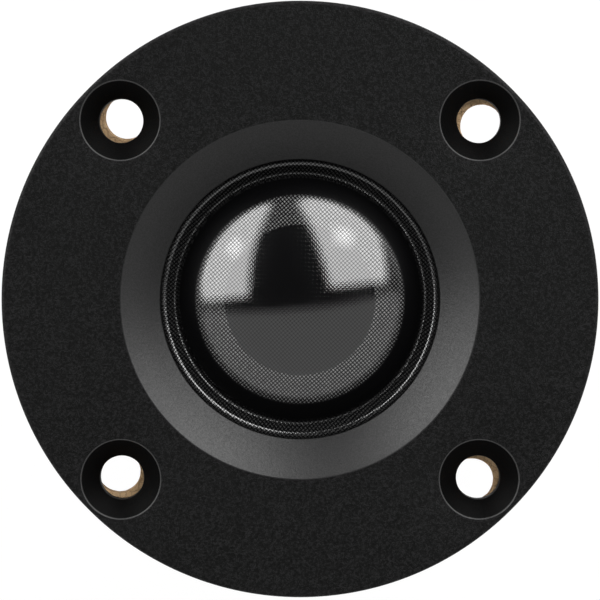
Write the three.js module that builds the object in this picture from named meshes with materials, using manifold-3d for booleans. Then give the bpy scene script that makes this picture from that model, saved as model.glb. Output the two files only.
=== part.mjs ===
// A car tweeter: a 26 mm coated-silk dome driver behind a short waveguide faceplate.
// Millimetres. +Z points out of the dome, and the origin is the middle of the back face.
// Radii are worked out from the voice coil outward, and heights from the back face forward.

import * as THREE from 'three';
import { mergeVertices } from 'three/addons/utils/BufferGeometryUtils.js';
import Module from 'manifold-3d';

const wasm = await Module();
wasm.setup();
const { lerp } = THREE.MathUtils;

// Fits between pieces
const seatGap = 0.05; // between two faces that are pressed or glued together
const dropInGap = 0.1; // round a piece that drops into another
const openGap = 0.3; // to a neighbour that must not be touched

// Voice coil
const voiceCoilDiameter = 26;
const formerWall = 0.15;
const windingThickness = 0.35;
const windingHeight = 2.2;
const windingLift = 0.1; // lower edge of the former to the winding
const coilGap = 0.35; // voice coil to the metal on each side of it

// Dome and surround
const fabricThickness = 0.25;
const domeFootOverlap = 0.1; // dome's foot past each side of the former's edge
const domeHeight = 5.6;
const seamWidth = 0.15; // dome's foot to the surround
const rollWidth = 1.5;
const rollHeight = 1.25;
const domeTravel = 0.5; // each way from rest

// Motor
const cupVentDiameter = 6;
const ventStep = 0.2; // how far the bore of the magnet and pole plate stands back from the vent
const copperThickness = 0.2;
const copperLedge = 4.2; // width of the cap's flat top
const magnetInset = 0.65; // magnet's edge inside the pole plate's
const magnetHeight = 4;
const polePlateThickness = 2.5;
const cupWall = 3.75;
const cupFloor = 3.5;
const cupRimWidth = 1;
const cupRimThickness = 2;
const edgeBreak = 0.3; // chamfer of turned and sintered edges
const poleFeltThickness = 1.5;

// Diaphragm ring and the clamp above it
const ringHeight = 2;
const ringShelfDepth = 1.35; // how far the shelf under the roll lies below the ring's top
const ringClearance = 0.5; // winding to the ring
const sealThickness = 0.8;
const rollClearance = 0.2; // roll's outer foot to the faceplate's clamping land

// Chassis and its screws
const chassisWall = 4;
const chassisHeight = 7.35;
const chassisDrop = 0.5; // how far the ring's top stands out of the chassis
const screwShankDiameter = 2.1;
const threadDepth = 3.35; // how far each screw reaches into the faceplate
const pilotSpare = 0.65; // pilot hole past the screw's tip
const screwTip = 1;
const screwHeadDiameter = 3.8;
const screwHeadHeight = 1.4;
const screwHeadRound = 0.5;
const recessWidth = 0.6; // of the cross recess
const recessLength = 2.2;
const recessDepth = 0.8;
const pocketDepth = 1.8; // of the pocket round each screw head
const screwHoleGap = 0.15; // round the shank where it passes through the chassis

// Faceplate
const flangeWidth = 8.4; // flange's edge past the chassis
const flangeThickness = 3.6;
const flangeEdgeRound = 0.4;
const throatPastCrest = 0.655; // throat's lip past the crest of the roll
const lipClearance = 0.2; // above the roll at full travel
const lipThickness = 0.5;
const waveguideFlare = 3.925;
const waveguideDepth = 2.4;
const countersinkLand = 0.55; // countersink's rim to the flange's edge
const boltHoleDiameter = 4.6;
const countersinkDiameter = 8.2;
const countersinkLip = 0.15; // straight wall above the 90 degree cone

// Mounting gasket
const gasketThickness = 2;
const gasketEdgeInset = 0.4; // gasket's edge inside the flange's
const gasketTurn = THREE.MathUtils.degToRad(-1.5); // glued on slightly turned

// Rear chamber
const chamberFloor = 1.5;
const chamberDepth = 5.15;
const chamberWall = 1.4;
const chamberLedge = 2.3; // width of the ledge that carries the steel cup
const chamberEdgeRound = 1.2;
const skirtWall = 1.4;
const skirtHeight = 2.55; // above the ledge
const flareHeight = 1.4;
const flareDrop = 0.25; // top of the flare below the ledge
const backRecessInset = 4.2; // cavity's wall to the recess in the back face
const backRecessDepth = 0.3;
const chamberFeltThickness = 3;

// Terminals: flat blades on a block under the chassis, at -Y
const bladeThickness = 0.5;
const positiveBladeWidth = 4.8;
const negativeBladeWidth = 2.8;
const bladeOffset = 4; // each blade's middle from the centre line
const bladeCover = 0.75; // outer corner of the wider blade to the chassis's outside
const bladeReach = 6.4; // free length below the block
const bladeTipTaper = 0.7;
const bladeTipLength = 1.1;
const bladeEyeDiameter = 1.3;
const bladeEyeLift = 3.2; // blade's tip to the middle of its eye
const tabWidth = 1.8; // of the solder tab at the blade's upper end
const tabReach = 3; // solder tab past the blade
const tabDrop = 0.1; // tab's top below the chassis top
const blockDrop = 2.4;
const blockInset = 0.2; // block's outer face inside the chassis's
const blockMargin = 1.6; // block past the wider blade
const leadDiameter = 0.4;
const leadLap = 0.6; // length of each lead that lies on its tab

// Radii
const formerRadius = voiceCoilDiameter / 2;
const formerBore = formerRadius - formerWall;
const windingBore = formerRadius + seatGap;
const windingRadius = windingBore + windingThickness;
const cupBore = windingRadius + coilGap;
const cupRadius = cupBore + cupWall;
const cupRimRadius = cupRadius + cupRimWidth;
const copperRadius = formerBore - coilGap;
const copperBore = copperRadius - copperThickness;
const polePlateRadius = copperBore - seatGap;
const magnetRadius = polePlateRadius - magnetInset;
const motorBore = cupVentDiameter / 2 + ventStep;
const poleFeltRadius = copperBore - copperLedge - openGap;
const domeRadius = formerRadius + domeFootOverlap;
const domeFootBore = formerBore - domeFootOverlap;
const rollBore = domeRadius + seamWidth;
const rollRadius = rollBore + rollWidth;
const crestRadius = rollBore + rollWidth / 2;
const surroundRadius = cupRimRadius - dropInGap;
const ringBore = windingRadius + ringClearance;
const ringShelfRadius = rollRadius - dropInGap;
const landBore = rollRadius + rollClearance;
const chassisBore = cupRimRadius + dropInGap;
const chassisCupBore = cupRadius + dropInGap;
const chassisRadius = chassisBore + chassisWall;
const screwCircle = chassisBore + chassisWall / 2;
const spigotBore = chassisBore + dropInGap;
const flangeRadius = chassisRadius + flangeWidth;
const boltCircle = flangeRadius - countersinkLand - countersinkDiameter / 2;
const throatRadius = crestRadius + throatPastCrest;
const mouthRadius = throatRadius + waveguideFlare;
const cavityRadius = cupRadius - chamberLedge;
const chamberRadius = cavityRadius + chamberWall;
const skirtBore = cupRadius + dropInGap;
const skirtRadius = skirtBore + skirtWall;

// Distance of the blades' outer and inner faces from the axis
const bladeCorner = bladeOffset + positiveBladeWidth / 2;
const bladeOuter = Math.sqrt((chassisRadius - bladeCover) ** 2 - bladeCorner ** 2);
const bladeInner = bladeOuter - bladeThickness;

// Heights above the back face
const chamberLedgeTop = chamberFloor + chamberDepth;
const cupBottom = chamberLedgeTop + seatGap;
const magnetBottom = cupBottom + cupFloor + seatGap;
const polePlateBottom = magnetBottom + magnetHeight + seatGap;
const cupTop = polePlateBottom + polePlateThickness;
const ringBottom = cupTop + seatGap;
const ringTop = ringBottom + ringHeight;
const ringShelfTop = ringTop - ringShelfDepth;
const fabricBottom = ringTop + seatGap;
const fabricTop = fabricBottom + fabricThickness;
const formerTop = fabricBottom - seatGap;
const windingBottom = polePlateBottom + (polePlateThickness - windingHeight) / 2;
const formerBottom = windingBottom - windingLift;
const sealBottom = fabricTop + seatGap;
const landBottom = sealBottom + sealThickness + seatGap;
const lipBottom = fabricTop + rollHeight + domeTravel + lipClearance;
const lipTop = lipBottom + lipThickness;
const faceTop = lipTop + waveguideDepth;
const flangeBottom = faceTop - flangeThickness;
const chassisTop = ringTop - chassisDrop;
const chassisBottom = chassisTop - chassisHeight;
const chassisShoulder = cupTop - cupRimThickness - seatGap;
const spigotBottom = chassisTop + seatGap;
const pocketTop = chassisBottom + pocketDepth;
const screwSeat = pocketTop - seatGap;
const screwLength = spigotBottom + threadDepth - screwSeat;
const tabTop = chassisTop - tabDrop;
const tabBottom = tabTop - bladeThickness;
const tabFloor = tabBottom - seatGap;
const blockBottom = chassisBottom - blockDrop;
const bladeTip = blockBottom - bladeReach;

// How round the pieces are
const roundSides = 48;
const holeSides = 24;
const shankSides = 12;
const leadSegments = 4; // in each half turn of a lead's section
const leadSteps = 14;
const overcut = 1; // how far a cutting tool runs past the face it opens

const cornerAngles = [0, 1, 2, 3].map((quarter) => Math.PI / 4 + (quarter * Math.PI) / 2);
const blades = [
  ['positive', bladeOffset, positiveBladeWidth],
  ['negative', -bladeOffset, negativeBladeWidth],
];

// Turns an anticlockwise outline of [radius, height] points about Z.
function turned(outline, sides = roundSides) {
  const points = outline.map(([radius, height]) => new THREE.Vector2(radius, height));
  const closesOnAxis = outline[0][0] === 0;
  if (!closesOnAxis) points.push(points[0].clone());
  return new THREE.LatheGeometry(points, sides).rotateX(Math.PI / 2);
}

function ring(bore, radius, height, sides = roundSides) {
  return turned([[bore, 0], [radius, 0], [radius, height], [bore, height]], sides);
}

function cylinder(radius, bottom, top, sides = holeSides) {
  return turned([[0, bottom], [radius, bottom], [radius, top], [0, top]], sides);
}

// A box given by its two corners.
function block(x0, x1, y0, y1, z0, z1) {
  const box = new THREE.BoxGeometry(x1 - x0, y1 - y0, z1 - z0);
  return box.translate((x0 + x1) / 2, (y0 + y1) / 2, (z0 + z1) / 2);
}

// Points along part of an ellipse, centred at [centreRadius, centreHeight].
function ellipse(centreRadius, centreHeight, halfWidth, halfHeight, start, end, steps) {
  const points = [];
  for (let step = 0; step <= steps; step++) {
    const angle = lerp(start, end, step / steps);
    points.push([centreRadius + halfWidth * Math.cos(angle), centreHeight + halfHeight * Math.sin(angle)]);
  }
  return points;
}

function arc(centreRadius, centreHeight, radius, start, end, steps) {
  return ellipse(centreRadius, centreHeight, radius, radius, start, end, steps);
}

function atCorner(geometry, radius, angle) {
  return geometry.rotateZ(angle).translate(radius * Math.cos(angle), radius * Math.sin(angle), 0);
}

function solidOf(geometry) {
  const bare = geometry.clone();
  bare.deleteAttribute('normal');
  bare.deleteAttribute('uv');
  const merged = mergeVertices(bare);
  const index = merged.index.array;
  const triangles = [];
  for (let i = 0; i < index.length; i += 3) {
    const [a, b, c] = [index[i], index[i + 1], index[i + 2]];
    if (a !== b && b !== c && c !== a) triangles.push(a, b, c);
  }
  return new wasm.Manifold(new wasm.Mesh({
    numProp: 3,
    vertProperties: merged.attributes.position.array,
    triVerts: Uint32Array.from(triangles),
  }));
}

function geometryOf(solid) {
  const mesh = solid.getMesh();
  const geometry = new THREE.BufferGeometry();
  geometry.setAttribute('position', new THREE.BufferAttribute(mesh.vertProperties, 3));
  geometry.setIndex(new THREE.BufferAttribute(mesh.triVerts, 1));
  geometry.computeVertexNormals();
  return geometry;
}

// Joins the added shapes to the body, then cuts the tools out of it.
function shaped(body, added, tools) {
  let solid = solidOf(body);
  for (const shape of added) solid = solid.add(solidOf(shape));
  for (const tool of tools) solid = solid.subtract(solidOf(tool));
  return geometryOf(solid);
}

// The faceplate: waveguide, countersunk flange, clamping land and the spigot that meets the chassis.
function makeFaceplate() {
  const edgeCentre = flangeRadius - flangeEdgeRound;
  const body = turned([
    [throatRadius, lipBottom],
    [landBore, lipBottom],
    [landBore, landBottom],
    [spigotBore, landBottom],
    [spigotBore, spigotBottom],
    [chassisRadius, spigotBottom],
    [chassisRadius, flangeBottom],
    [flangeRadius, flangeBottom],
    ...arc(edgeCentre, faceTop - flangeEdgeRound, flangeEdgeRound, 0, Math.PI / 2, 3),
    [mouthRadius, faceTop],
    [throatRadius, lipTop],
  ]);
  const holeRadius = boltHoleDiameter / 2;
  const sinkRadius = countersinkDiameter / 2;
  const coneTop = faceTop - countersinkLip;
  const tools = [];
  for (const angle of cornerAngles) {
    const boltHole = turned([
      [0, spigotBottom],
      [holeRadius, spigotBottom],
      [holeRadius, coneTop - (sinkRadius - holeRadius)],
      [sinkRadius, coneTop],
      [sinkRadius, faceTop + overcut],
      [0, faceTop + overcut],
    ], holeSides);
    const pilotRadius = screwShankDiameter / 2 + dropInGap;
    const pilotTop = spigotBottom + threadDepth + pilotSpare;
    const pilot = cylinder(pilotRadius, spigotBottom - overcut, pilotTop, shankSides);
    tools.push(atCorner(boltHole, boltCircle, angle));
    tools.push(atCorner(pilot, screwCircle, angle));
  }
  return shaped(body, [], tools);
}

function makeGasket() {
  const tools = cornerAngles.map((angle) => {
    const hole = cylinder(boltHoleDiameter / 2, -overcut, gasketThickness + overcut);
    return atCorner(hole, boltCircle, angle);
  });
  const body = ring(chassisRadius + openGap, flangeRadius - gasketEdgeInset, gasketThickness);
  return shaped(body, [], tools);
}

// A spherical cap of even thickness on a flat foot. Its height is measured from the top of the foot.
function makeDome() {
  const sphere = (domeRadius ** 2 + domeHeight ** 2) / (2 * domeHeight);
  const centre = fabricThickness + domeHeight - sphere;
  const outer = arc(0, centre, sphere, Math.acos(domeRadius / sphere), Math.PI / 2, 7);
  const innerSphere = sphere - fabricThickness;
  const inner = arc(0, centre, innerSphere, Math.PI / 2, Math.acos(domeFootBore / innerSphere), 5);
  inner[0][0] = 0;
  outer[outer.length - 1][0] = 0;
  return turned([...inner, [domeFootBore, 0], [domeRadius, 0], ...outer]);
}

// A half roll, elliptical in section, with a flat edge that the faceplate clamps.
function makeSurround() {
  const halfWidth = rollWidth / 2;
  return turned([
    [rollBore, 0],
    ...ellipse(crestRadius, 0, halfWidth - fabricThickness, rollHeight, Math.PI, 0, 6),
    [surroundRadius, 0],
    [surroundRadius, fabricThickness],
    ...ellipse(crestRadius, fabricThickness, halfWidth, rollHeight, 0, Math.PI, 8),
  ]);
}

// The ring that the surround is glued to. Two slots let the solder tabs reach the lead wires.
function makeDiaphragmRing() {
  const body = turned([
    [ringBore, ringBottom],
    [cupRimRadius, ringBottom],
    [cupRimRadius, ringTop],
    [ringShelfRadius, ringTop],
    [ringShelfRadius, ringShelfTop],
    [ringBore, ringShelfTop],
  ]);
  const halfSlot = tabWidth / 2 + openGap;
  const slots = blades.map(([, x]) => {
    const inner = Math.sqrt(ringShelfRadius ** 2 - (bladeOffset + halfSlot) ** 2) - openGap;
    const outer = cupRimRadius + overcut;
    return block(x - halfSlot, x + halfSlot, -outer, -inner, tabFloor, ringTop + overcut);
  });
  return shaped(body, [], slots);
}

function makeSteelCup() {
  const vent = cupVentDiameter / 2;
  const wallTop = cupTop - cupBottom;
  return turned([
    [vent, 0],
    [cupRadius - edgeBreak, 0],
    [cupRadius, edgeBreak],
    [cupRadius, wallTop - cupRimThickness],
    [cupRimRadius, wallTop - cupRimThickness],
    [cupRimRadius, wallTop],
    [cupBore, wallTop],
    [cupBore, cupFloor],
    [vent, cupFloor],
  ]);
}

function makeRingMagnet() {
  return turned([
    [motorBore, 0],
    [magnetRadius - edgeBreak, 0],
    [magnetRadius, edgeBreak],
    [magnetRadius, magnetHeight - edgeBreak],
    [magnetRadius - edgeBreak, magnetHeight],
    [motorBore, magnetHeight],
  ]);
}

// A thin sleeve round the pole plate with a flat ledge over the plate's edge.
function makeCopperCap() {
  const ledgeBottom = polePlateThickness + seatGap;
  const ledgeTop = ledgeBottom + copperThickness;
  return turned([
    [copperBore, 0],
    [copperRadius, 0],
    [copperRadius, ledgeTop],
    [copperBore - copperLedge, ledgeTop],
    [copperBore - copperLedge, ledgeBottom],
    [copperBore, ledgeBottom],
  ]);
}

// The block under the chassis that the blades stand in: a sector centred on -Y.
function makeTerminalBlock() {
  const inner = skirtRadius + openGap;
  const outer = chassisRadius - blockInset;
  const halfAngle = Math.atan((bladeCorner + blockMargin) / bladeInner);
  const start = -Math.PI / 2 - halfAngle;
  const end = -Math.PI / 2 + halfAngle;
  const sector = new THREE.Shape();
  sector.absarc(0, 0, outer, start, end, false);
  sector.absarc(0, 0, inner, end, start, true);
  const depth = blockDrop + pocketDepth;
  const solid = new THREE.ExtrudeGeometry(sector, { depth, bevelEnabled: false, curveSegments: 10 });
  return solid.translate(0, 0, blockBottom);
}

function makeChassis() {
  const body = turned([
    [chassisCupBore, chassisBottom],
    [chassisRadius, chassisBottom],
    [chassisRadius, chassisTop],
    [chassisBore, chassisTop],
    [chassisBore, chassisShoulder],
    [chassisCupBore, chassisShoulder],
  ]);
  const tools = [];
  for (const angle of cornerAngles) {
    const hole = cylinder(screwShankDiameter / 2 + screwHoleGap, chassisBottom, chassisTop + overcut);
    const pocket = cylinder(screwHeadDiameter / 2 + openGap, chassisBottom - overcut, pocketTop);
    tools.push(atCorner(hole, screwCircle, angle));
    tools.push(atCorner(pocket, screwCircle, angle));
  }
  for (const [, x, width] of blades) {
    const halfSlot = width / 2 + dropInGap;
    const halfTab = tabWidth / 2 + dropInGap;
    const outer = bladeOuter + dropInGap;
    const inner = bladeInner - dropInGap;
    const top = chassisTop + overcut;
    tools.push(block(x - halfSlot, x + halfSlot, -outer, -inner, blockBottom - overcut, top));
    tools.push(block(x - halfTab, x + halfTab, -bladeInner, -chassisCupBore, tabFloor, top));
  }
  return shaped(body, [makeTerminalBlock()], tools);
}

// A self-tapping screw that points up, with its head's seat at height 0.
function makeScrew() {
  const shank = screwShankDiameter / 2;
  const head = screwHeadDiameter / 2;
  const roundCentre = screwHeadRound - screwHeadHeight;
  const body = turned([
    [0, -screwHeadHeight],
    ...arc(head - screwHeadRound, roundCentre, screwHeadRound, -Math.PI / 2, 0, 3),
    [head, 0],
    [shank, 0],
    [shank, screwLength - screwTip],
    [0, screwLength],
  ], holeSides);
  const floor = recessDepth - screwHeadHeight;
  const halfLength = recessLength / 2;
  const halfWidth = recessWidth / 2;
  const below = -screwHeadHeight - overcut;
  return shaped(body, [], [
    block(-halfLength, halfLength, -halfWidth, halfWidth, below, floor),
    block(-halfWidth, halfWidth, -halfLength, halfLength, below, floor),
  ]);
}

// The cup behind the motor that closes the air space and carries the part on its back face.
function makeRearChamber() {
  const recessRadius = cavityRadius - backRecessInset;
  const edgeCentre = chamberRadius - chamberEdgeRound;
  const flareTop = chamberLedgeTop - flareDrop;
  const skirtTop = chamberLedgeTop + skirtHeight;
  return turned([
    [0, backRecessDepth],
    [recessRadius, backRecessDepth],
    [recessRadius, 0],
    ...arc(edgeCentre, chamberEdgeRound, chamberEdgeRound, -Math.PI / 2, 0, 4),
    [chamberRadius, flareTop - flareHeight],
    [skirtRadius, flareTop],
    [skirtRadius, skirtTop],
    [skirtBore, skirtTop],
    [skirtBore, chamberLedgeTop],
    [cavityRadius, chamberLedgeTop],
    [cavityRadius, chamberFloor],
    [0, chamberFloor],
  ]);
}

// A tapered blade with an eye, and a narrow tab bent inward at its upper end.
function makeTerminal(width) {
  const half = width / 2;
  const shoulder = bladeTip + bladeTipLength;
  const outline = new THREE.Shape();
  outline.moveTo(-half + bladeTipTaper, bladeTip);
  outline.lineTo(half - bladeTipTaper, bladeTip);
  outline.lineTo(half, shoulder);
  outline.lineTo(half, tabTop);
  outline.lineTo(-half, tabTop);
  outline.lineTo(-half, shoulder);
  outline.closePath();
  const eye = new THREE.Path();
  eye.absarc(0, bladeTip + bladeEyeLift, bladeEyeDiameter / 2, 0, 2 * Math.PI, true);
  outline.holes.push(eye);
  const options = { depth: bladeThickness, bevelEnabled: false, curveSegments: 8 };
  const blade = new THREE.ExtrudeGeometry(outline, options);
  blade.rotateX(Math.PI / 2).translate(0, -bladeInner, 0);
  const tabEnd = tabReach - bladeInner;
  const tabRoot = -lerp(bladeInner, bladeOuter, 0.5);
  const tab = block(-tabWidth / 2, tabWidth / 2, tabRoot, tabEnd, tabBottom, tabTop);
  return shaped(blade, [tab], []);
}

// The bare wire from the voice coil over the shelf and up onto the solder tab, in the plane x = 0.
function makeLeadWire() {
  const radius = leadDiameter / 2;
  const start = Math.sqrt((formerRadius + openGap) ** 2 - bladeOffset ** 2);
  const slotStart = Math.sqrt((ringShelfRadius - openGap) ** 2 - bladeOffset ** 2);
  const end = bladeInner - tabReach + leadLap;
  const low = ringShelfTop + dropInGap + radius;
  const high = tabTop + seatGap + radius;
  const route = new THREE.CatmullRomCurve3([
    new THREE.Vector3(0, -start, low),
    new THREE.Vector3(0, -lerp(start, slotStart, 0.35), lerp(low, high, 0.25)),
    new THREE.Vector3(0, -slotStart, lerp(low, high, 0.8)),
    new THREE.Vector3(0, -lerp(slotStart, end, 0.5), high),
    new THREE.Vector3(0, -end, high),
  ]);
  const section = new THREE.Shape();
  section.absarc(0, 0, radius, 0, 2 * Math.PI, false);
  return new THREE.ExtrudeGeometry(section, {
    steps: leadSteps,
    curveSegments: leadSegments,
    extrudePath: route,
    bevelEnabled: false,
  });
}

const finishes = {
  mouldedBlack: { color: 0x1c1c1d, roughness: 0.72, metalness: 0 },
  corkTan: { color: 0xa58a68, roughness: 0.95, metalness: 0 },
  foamGrey: { color: 0x3a3a3c, roughness: 0.95, metalness: 0 },
  coatedSilk: { color: 0x08080a, roughness: 0.3, metalness: 0 },
  aluminium: { color: 0xb9bcc0, roughness: 0.35, metalness: 1 },
  copper: { color: 0xb5683c, roughness: 0.35, metalness: 1 },
  darkPlastic: { color: 0x262628, roughness: 0.6, metalness: 0 },
  zincSteel: { color: 0x9ea2a6, roughness: 0.38, metalness: 1 },
  nickel: { color: 0xc4c3bd, roughness: 0.25, metalness: 1 },
  felt: { color: 0x4b4a48, roughness: 1, metalness: 0 },
  tinnedBrass: { color: 0xc9ac62, roughness: 0.32, metalness: 1 },
};

function piece(name, geometry, finish, height = 0) {
  const mesh = new THREE.Mesh(geometry, new THREE.MeshStandardMaterial(finishes[finish]));
  mesh.name = name;
  mesh.position.z = height;
  return mesh;
}

function makeMotor() {
  const motor = new THREE.Group();
  motor.add(piece('steel_cup', makeSteelCup(), 'zincSteel', cupBottom));
  motor.add(piece('ring_magnet', makeRingMagnet(), 'nickel', magnetBottom));
  const plate = ring(motorBore, polePlateRadius, polePlateThickness);
  motor.add(piece('pole_plate', plate, 'zincSteel', polePlateBottom));
  motor.add(piece('copper_cap', makeCopperCap(), 'copper', polePlateBottom));
  const felt = ring(motorBore, poleFeltRadius, poleFeltThickness);
  motor.add(piece('pole_felt', felt, 'felt', cupTop + seatGap));
  return motor;
}

function makeDiaphragm() {
  const diaphragm = new THREE.Group();
  diaphragm.add(piece('dome', makeDome(), 'coatedSilk', fabricBottom));
  const former = ring(formerBore, formerRadius, formerTop - formerBottom);
  diaphragm.add(piece('voice_coil_former', former, 'aluminium', formerBottom));
  const winding = ring(windingBore, windingRadius, windingHeight);
  diaphragm.add(piece('voice_coil_winding', winding, 'copper', windingBottom));
  return diaphragm;
}

function makeSuspension() {
  const suspension = new THREE.Group();
  suspension.add(piece('surround', makeSurround(), 'coatedSilk', fabricBottom));
  suspension.add(piece('diaphragm_ring', makeDiaphragmRing(), 'darkPlastic'));
  const seal = ring(landBore + dropInGap, surroundRadius, sealThickness);
  suspension.add(piece('clamp_seal', seal, 'foamGrey', sealBottom));
  return suspension;
}

function makeHousing() {
  const housing = new THREE.Group();
  housing.add(piece('faceplate', makeFaceplate(), 'mouldedBlack'));
  const gasketBottom = flangeBottom - seatGap - gasketThickness;
  const gasket = piece('mounting_gasket', makeGasket(), 'corkTan', gasketBottom);
  gasket.rotation.z = gasketTurn;
  housing.add(gasket);
  housing.add(piece('chassis', makeChassis(), 'darkPlastic'));
  cornerAngles.forEach((angle, i) => {
    const screw = piece(`chassis_screw_${i + 1}`, makeScrew(), 'zincSteel', screwSeat);
    screw.position.x = screwCircle * Math.cos(angle);
    screw.position.y = screwCircle * Math.sin(angle);
    screw.rotation.z = angle;
    housing.add(screw);
  });
  housing.add(piece('rear_chamber', makeRearChamber(), 'darkPlastic'));
  const feltRadius = cavityRadius - openGap;
  const felt = cylinder(feltRadius, 0, chamberFeltThickness, roundSides);
  housing.add(piece('chamber_felt', felt, 'felt', chamberFloor + seatGap));
  return housing;
}

function makeWiring() {
  const wiring = new THREE.Group();
  for (const [side, x, width] of blades) {
    const pair = new THREE.Group();
    pair.position.x = x;
    pair.add(piece(`terminal_${side}`, makeTerminal(width), 'tinnedBrass'));
    pair.add(piece(`lead_wire_${side}`, makeLeadWire(), 'copper'));
    wiring.add(pair);
  }
  return wiring;
}

const tweeter = new THREE.Group();
tweeter.add(makeMotor(), makeDiaphragm(), makeSuspension(), makeHousing(), makeWiring());

export default tweeter;
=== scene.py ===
import math

import bmesh
import bpy
from mathutils import Matrix, Vector, noise
from mathutils.geometry import delaunay_2d_cdt
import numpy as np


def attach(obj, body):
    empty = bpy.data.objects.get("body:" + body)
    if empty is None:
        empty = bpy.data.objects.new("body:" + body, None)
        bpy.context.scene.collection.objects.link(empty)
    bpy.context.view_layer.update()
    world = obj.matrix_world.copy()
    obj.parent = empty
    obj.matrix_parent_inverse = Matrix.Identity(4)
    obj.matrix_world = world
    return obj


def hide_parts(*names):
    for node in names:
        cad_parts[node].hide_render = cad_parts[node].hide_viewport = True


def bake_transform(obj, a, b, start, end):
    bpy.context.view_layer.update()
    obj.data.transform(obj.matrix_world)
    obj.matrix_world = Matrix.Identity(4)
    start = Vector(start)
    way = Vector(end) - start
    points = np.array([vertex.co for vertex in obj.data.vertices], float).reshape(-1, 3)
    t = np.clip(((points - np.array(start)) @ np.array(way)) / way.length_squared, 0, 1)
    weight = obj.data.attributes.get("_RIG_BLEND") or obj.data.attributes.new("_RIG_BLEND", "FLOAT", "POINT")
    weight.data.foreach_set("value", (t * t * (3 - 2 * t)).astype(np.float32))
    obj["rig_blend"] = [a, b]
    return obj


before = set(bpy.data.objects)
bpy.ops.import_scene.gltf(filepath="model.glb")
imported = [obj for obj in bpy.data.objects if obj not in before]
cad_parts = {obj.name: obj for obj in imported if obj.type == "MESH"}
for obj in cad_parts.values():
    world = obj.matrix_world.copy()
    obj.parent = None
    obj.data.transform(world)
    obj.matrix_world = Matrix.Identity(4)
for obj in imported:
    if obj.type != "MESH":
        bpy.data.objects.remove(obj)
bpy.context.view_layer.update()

# A 26 mm soft-dome car tweeter. Sizes in the settings are in millimetres, in the frame's own axes:
# +Z out of the dome, +Y away from the terminals, the origin in the middle of the back face.
mm = 0.001
tau = 2 * math.pi
quarterAngles = [math.pi / 4 + quarter * math.pi / 2 for quarter in range(4)]


# Gathers points and faces in millimetres, then makes them one clean mesh.
class Form:
    def __init__(self):
        self.points = []
        self.faces = []

    def add(self, points, faces):
        first = len(self.points)
        self.points.extend(points)
        self.faces.extend([[first + i for i in face] for face in faces])

    # Turns a path of [radius, height] about Z. An anticlockwise path has its faces outwards.
    def turn(self, path, sides, closed=True, shift=None):
        points, rings = [], []
        for radius, height in path:
            if radius < 1e-6:
                rings.append([len(points)] * sides)
                points.append((0, 0, height))
                continue
            rings.append(list(range(len(points), len(points) + sides)))
            for side in range(sides):
                angle = tau * side / sides
                r, z = shift(angle, radius, height) if shift else (radius, height)
                points.append((r * math.cos(angle), r * math.sin(angle), z))
        faces = []
        pairs = list(zip(rings, rings[1:] + rings[:1])) if closed else list(zip(rings, rings[1:]))
        for low, high in pairs:
            for side in range(sides):
                after = (side + 1) % sides
                face = [low[side], low[after], high[after], high[side]]
                face = [i for n, i in enumerate(face) if i != face[n - 1]]
                if len(face) > 2:
                    faces.append(face)
        self.add(points, faces)

    def mesh(self, name, merge=0.0004):
        mesh = bpy.data.meshes.new(name)
        mesh.from_pydata([[c * mm for c in point] for point in self.points], [], self.faces)
        work = bmesh.new()
        work.from_mesh(mesh)
        bmesh.ops.remove_doubles(work, verts=work.verts, dist=merge * mm)
        loose = [v for v in work.verts if not v.link_faces]
        bmesh.ops.delete(work, geom=loose, context="VERTS")
        bmesh.ops.recalc_face_normals(work, faces=work.faces)
        work.to_mesh(mesh)
        work.free()
        return mesh


# Rounds the corners of a path. A point is (radius, height) or (radius, height, rounding), and a short
# straight step on each side of an arc keeps the flats flat when they are shaded.
def rounded(path, rounding=0.12, steps=4, closed=True, support=0.05):
    corners = [(Vector(point[:2]), point[2] if len(point) > 2 else rounding) for point in path]
    made = []
    for i, (corner, size) in enumerate(corners):
        isEnd = not closed and i in (0, len(corners) - 1)
        if isEnd or size == 0 or corner.x < 1e-6:
            made.append(corner)
            continue
        toLast = corners[i - 1][0] - corner
        toNext = corners[(i + 1) % len(corners)][0] - corner
        half = toLast.angle(toNext) / 2
        if abs(math.cos(half)) < 0.02:
            made.append(corner)
            continue
        reach = min(size / math.tan(half), 0.4 * toLast.length, 0.4 * toNext.length)
        size = reach * math.tan(half)
        a, b = toLast.normalized(), toNext.normalized()
        centre = corner + (a + b).normalized() * (size / math.sin(half))
        start, end = corner + a * reach, corner + b * reach
        made.append(start + a * min(support, 0.08 * toLast.length))
        sweep = math.pi - 2 * half
        side = 1 if (start - centre).cross(end - centre) > 0 else -1
        for step in range(steps + 1):
            spoke = (start - centre).copy()
            turnBy = side * sweep * step / steps
            made.append(centre + Vector((spoke.x * math.cos(turnBy) - spoke.y * math.sin(turnBy),
                                         spoke.x * math.sin(turnBy) + spoke.y * math.cos(turnBy))))
        made.append(end + b * min(support, 0.08 * toNext.length))
    return [(point.x, point.y) for point in made]


def circlePoints(radius, sides, x=0.0, y=0.0):
    angles = [tau * i / sides for i in range(sides)]
    return [(x + radius * math.cos(angle), y + radius * math.sin(angle)) for angle in angles]


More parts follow.
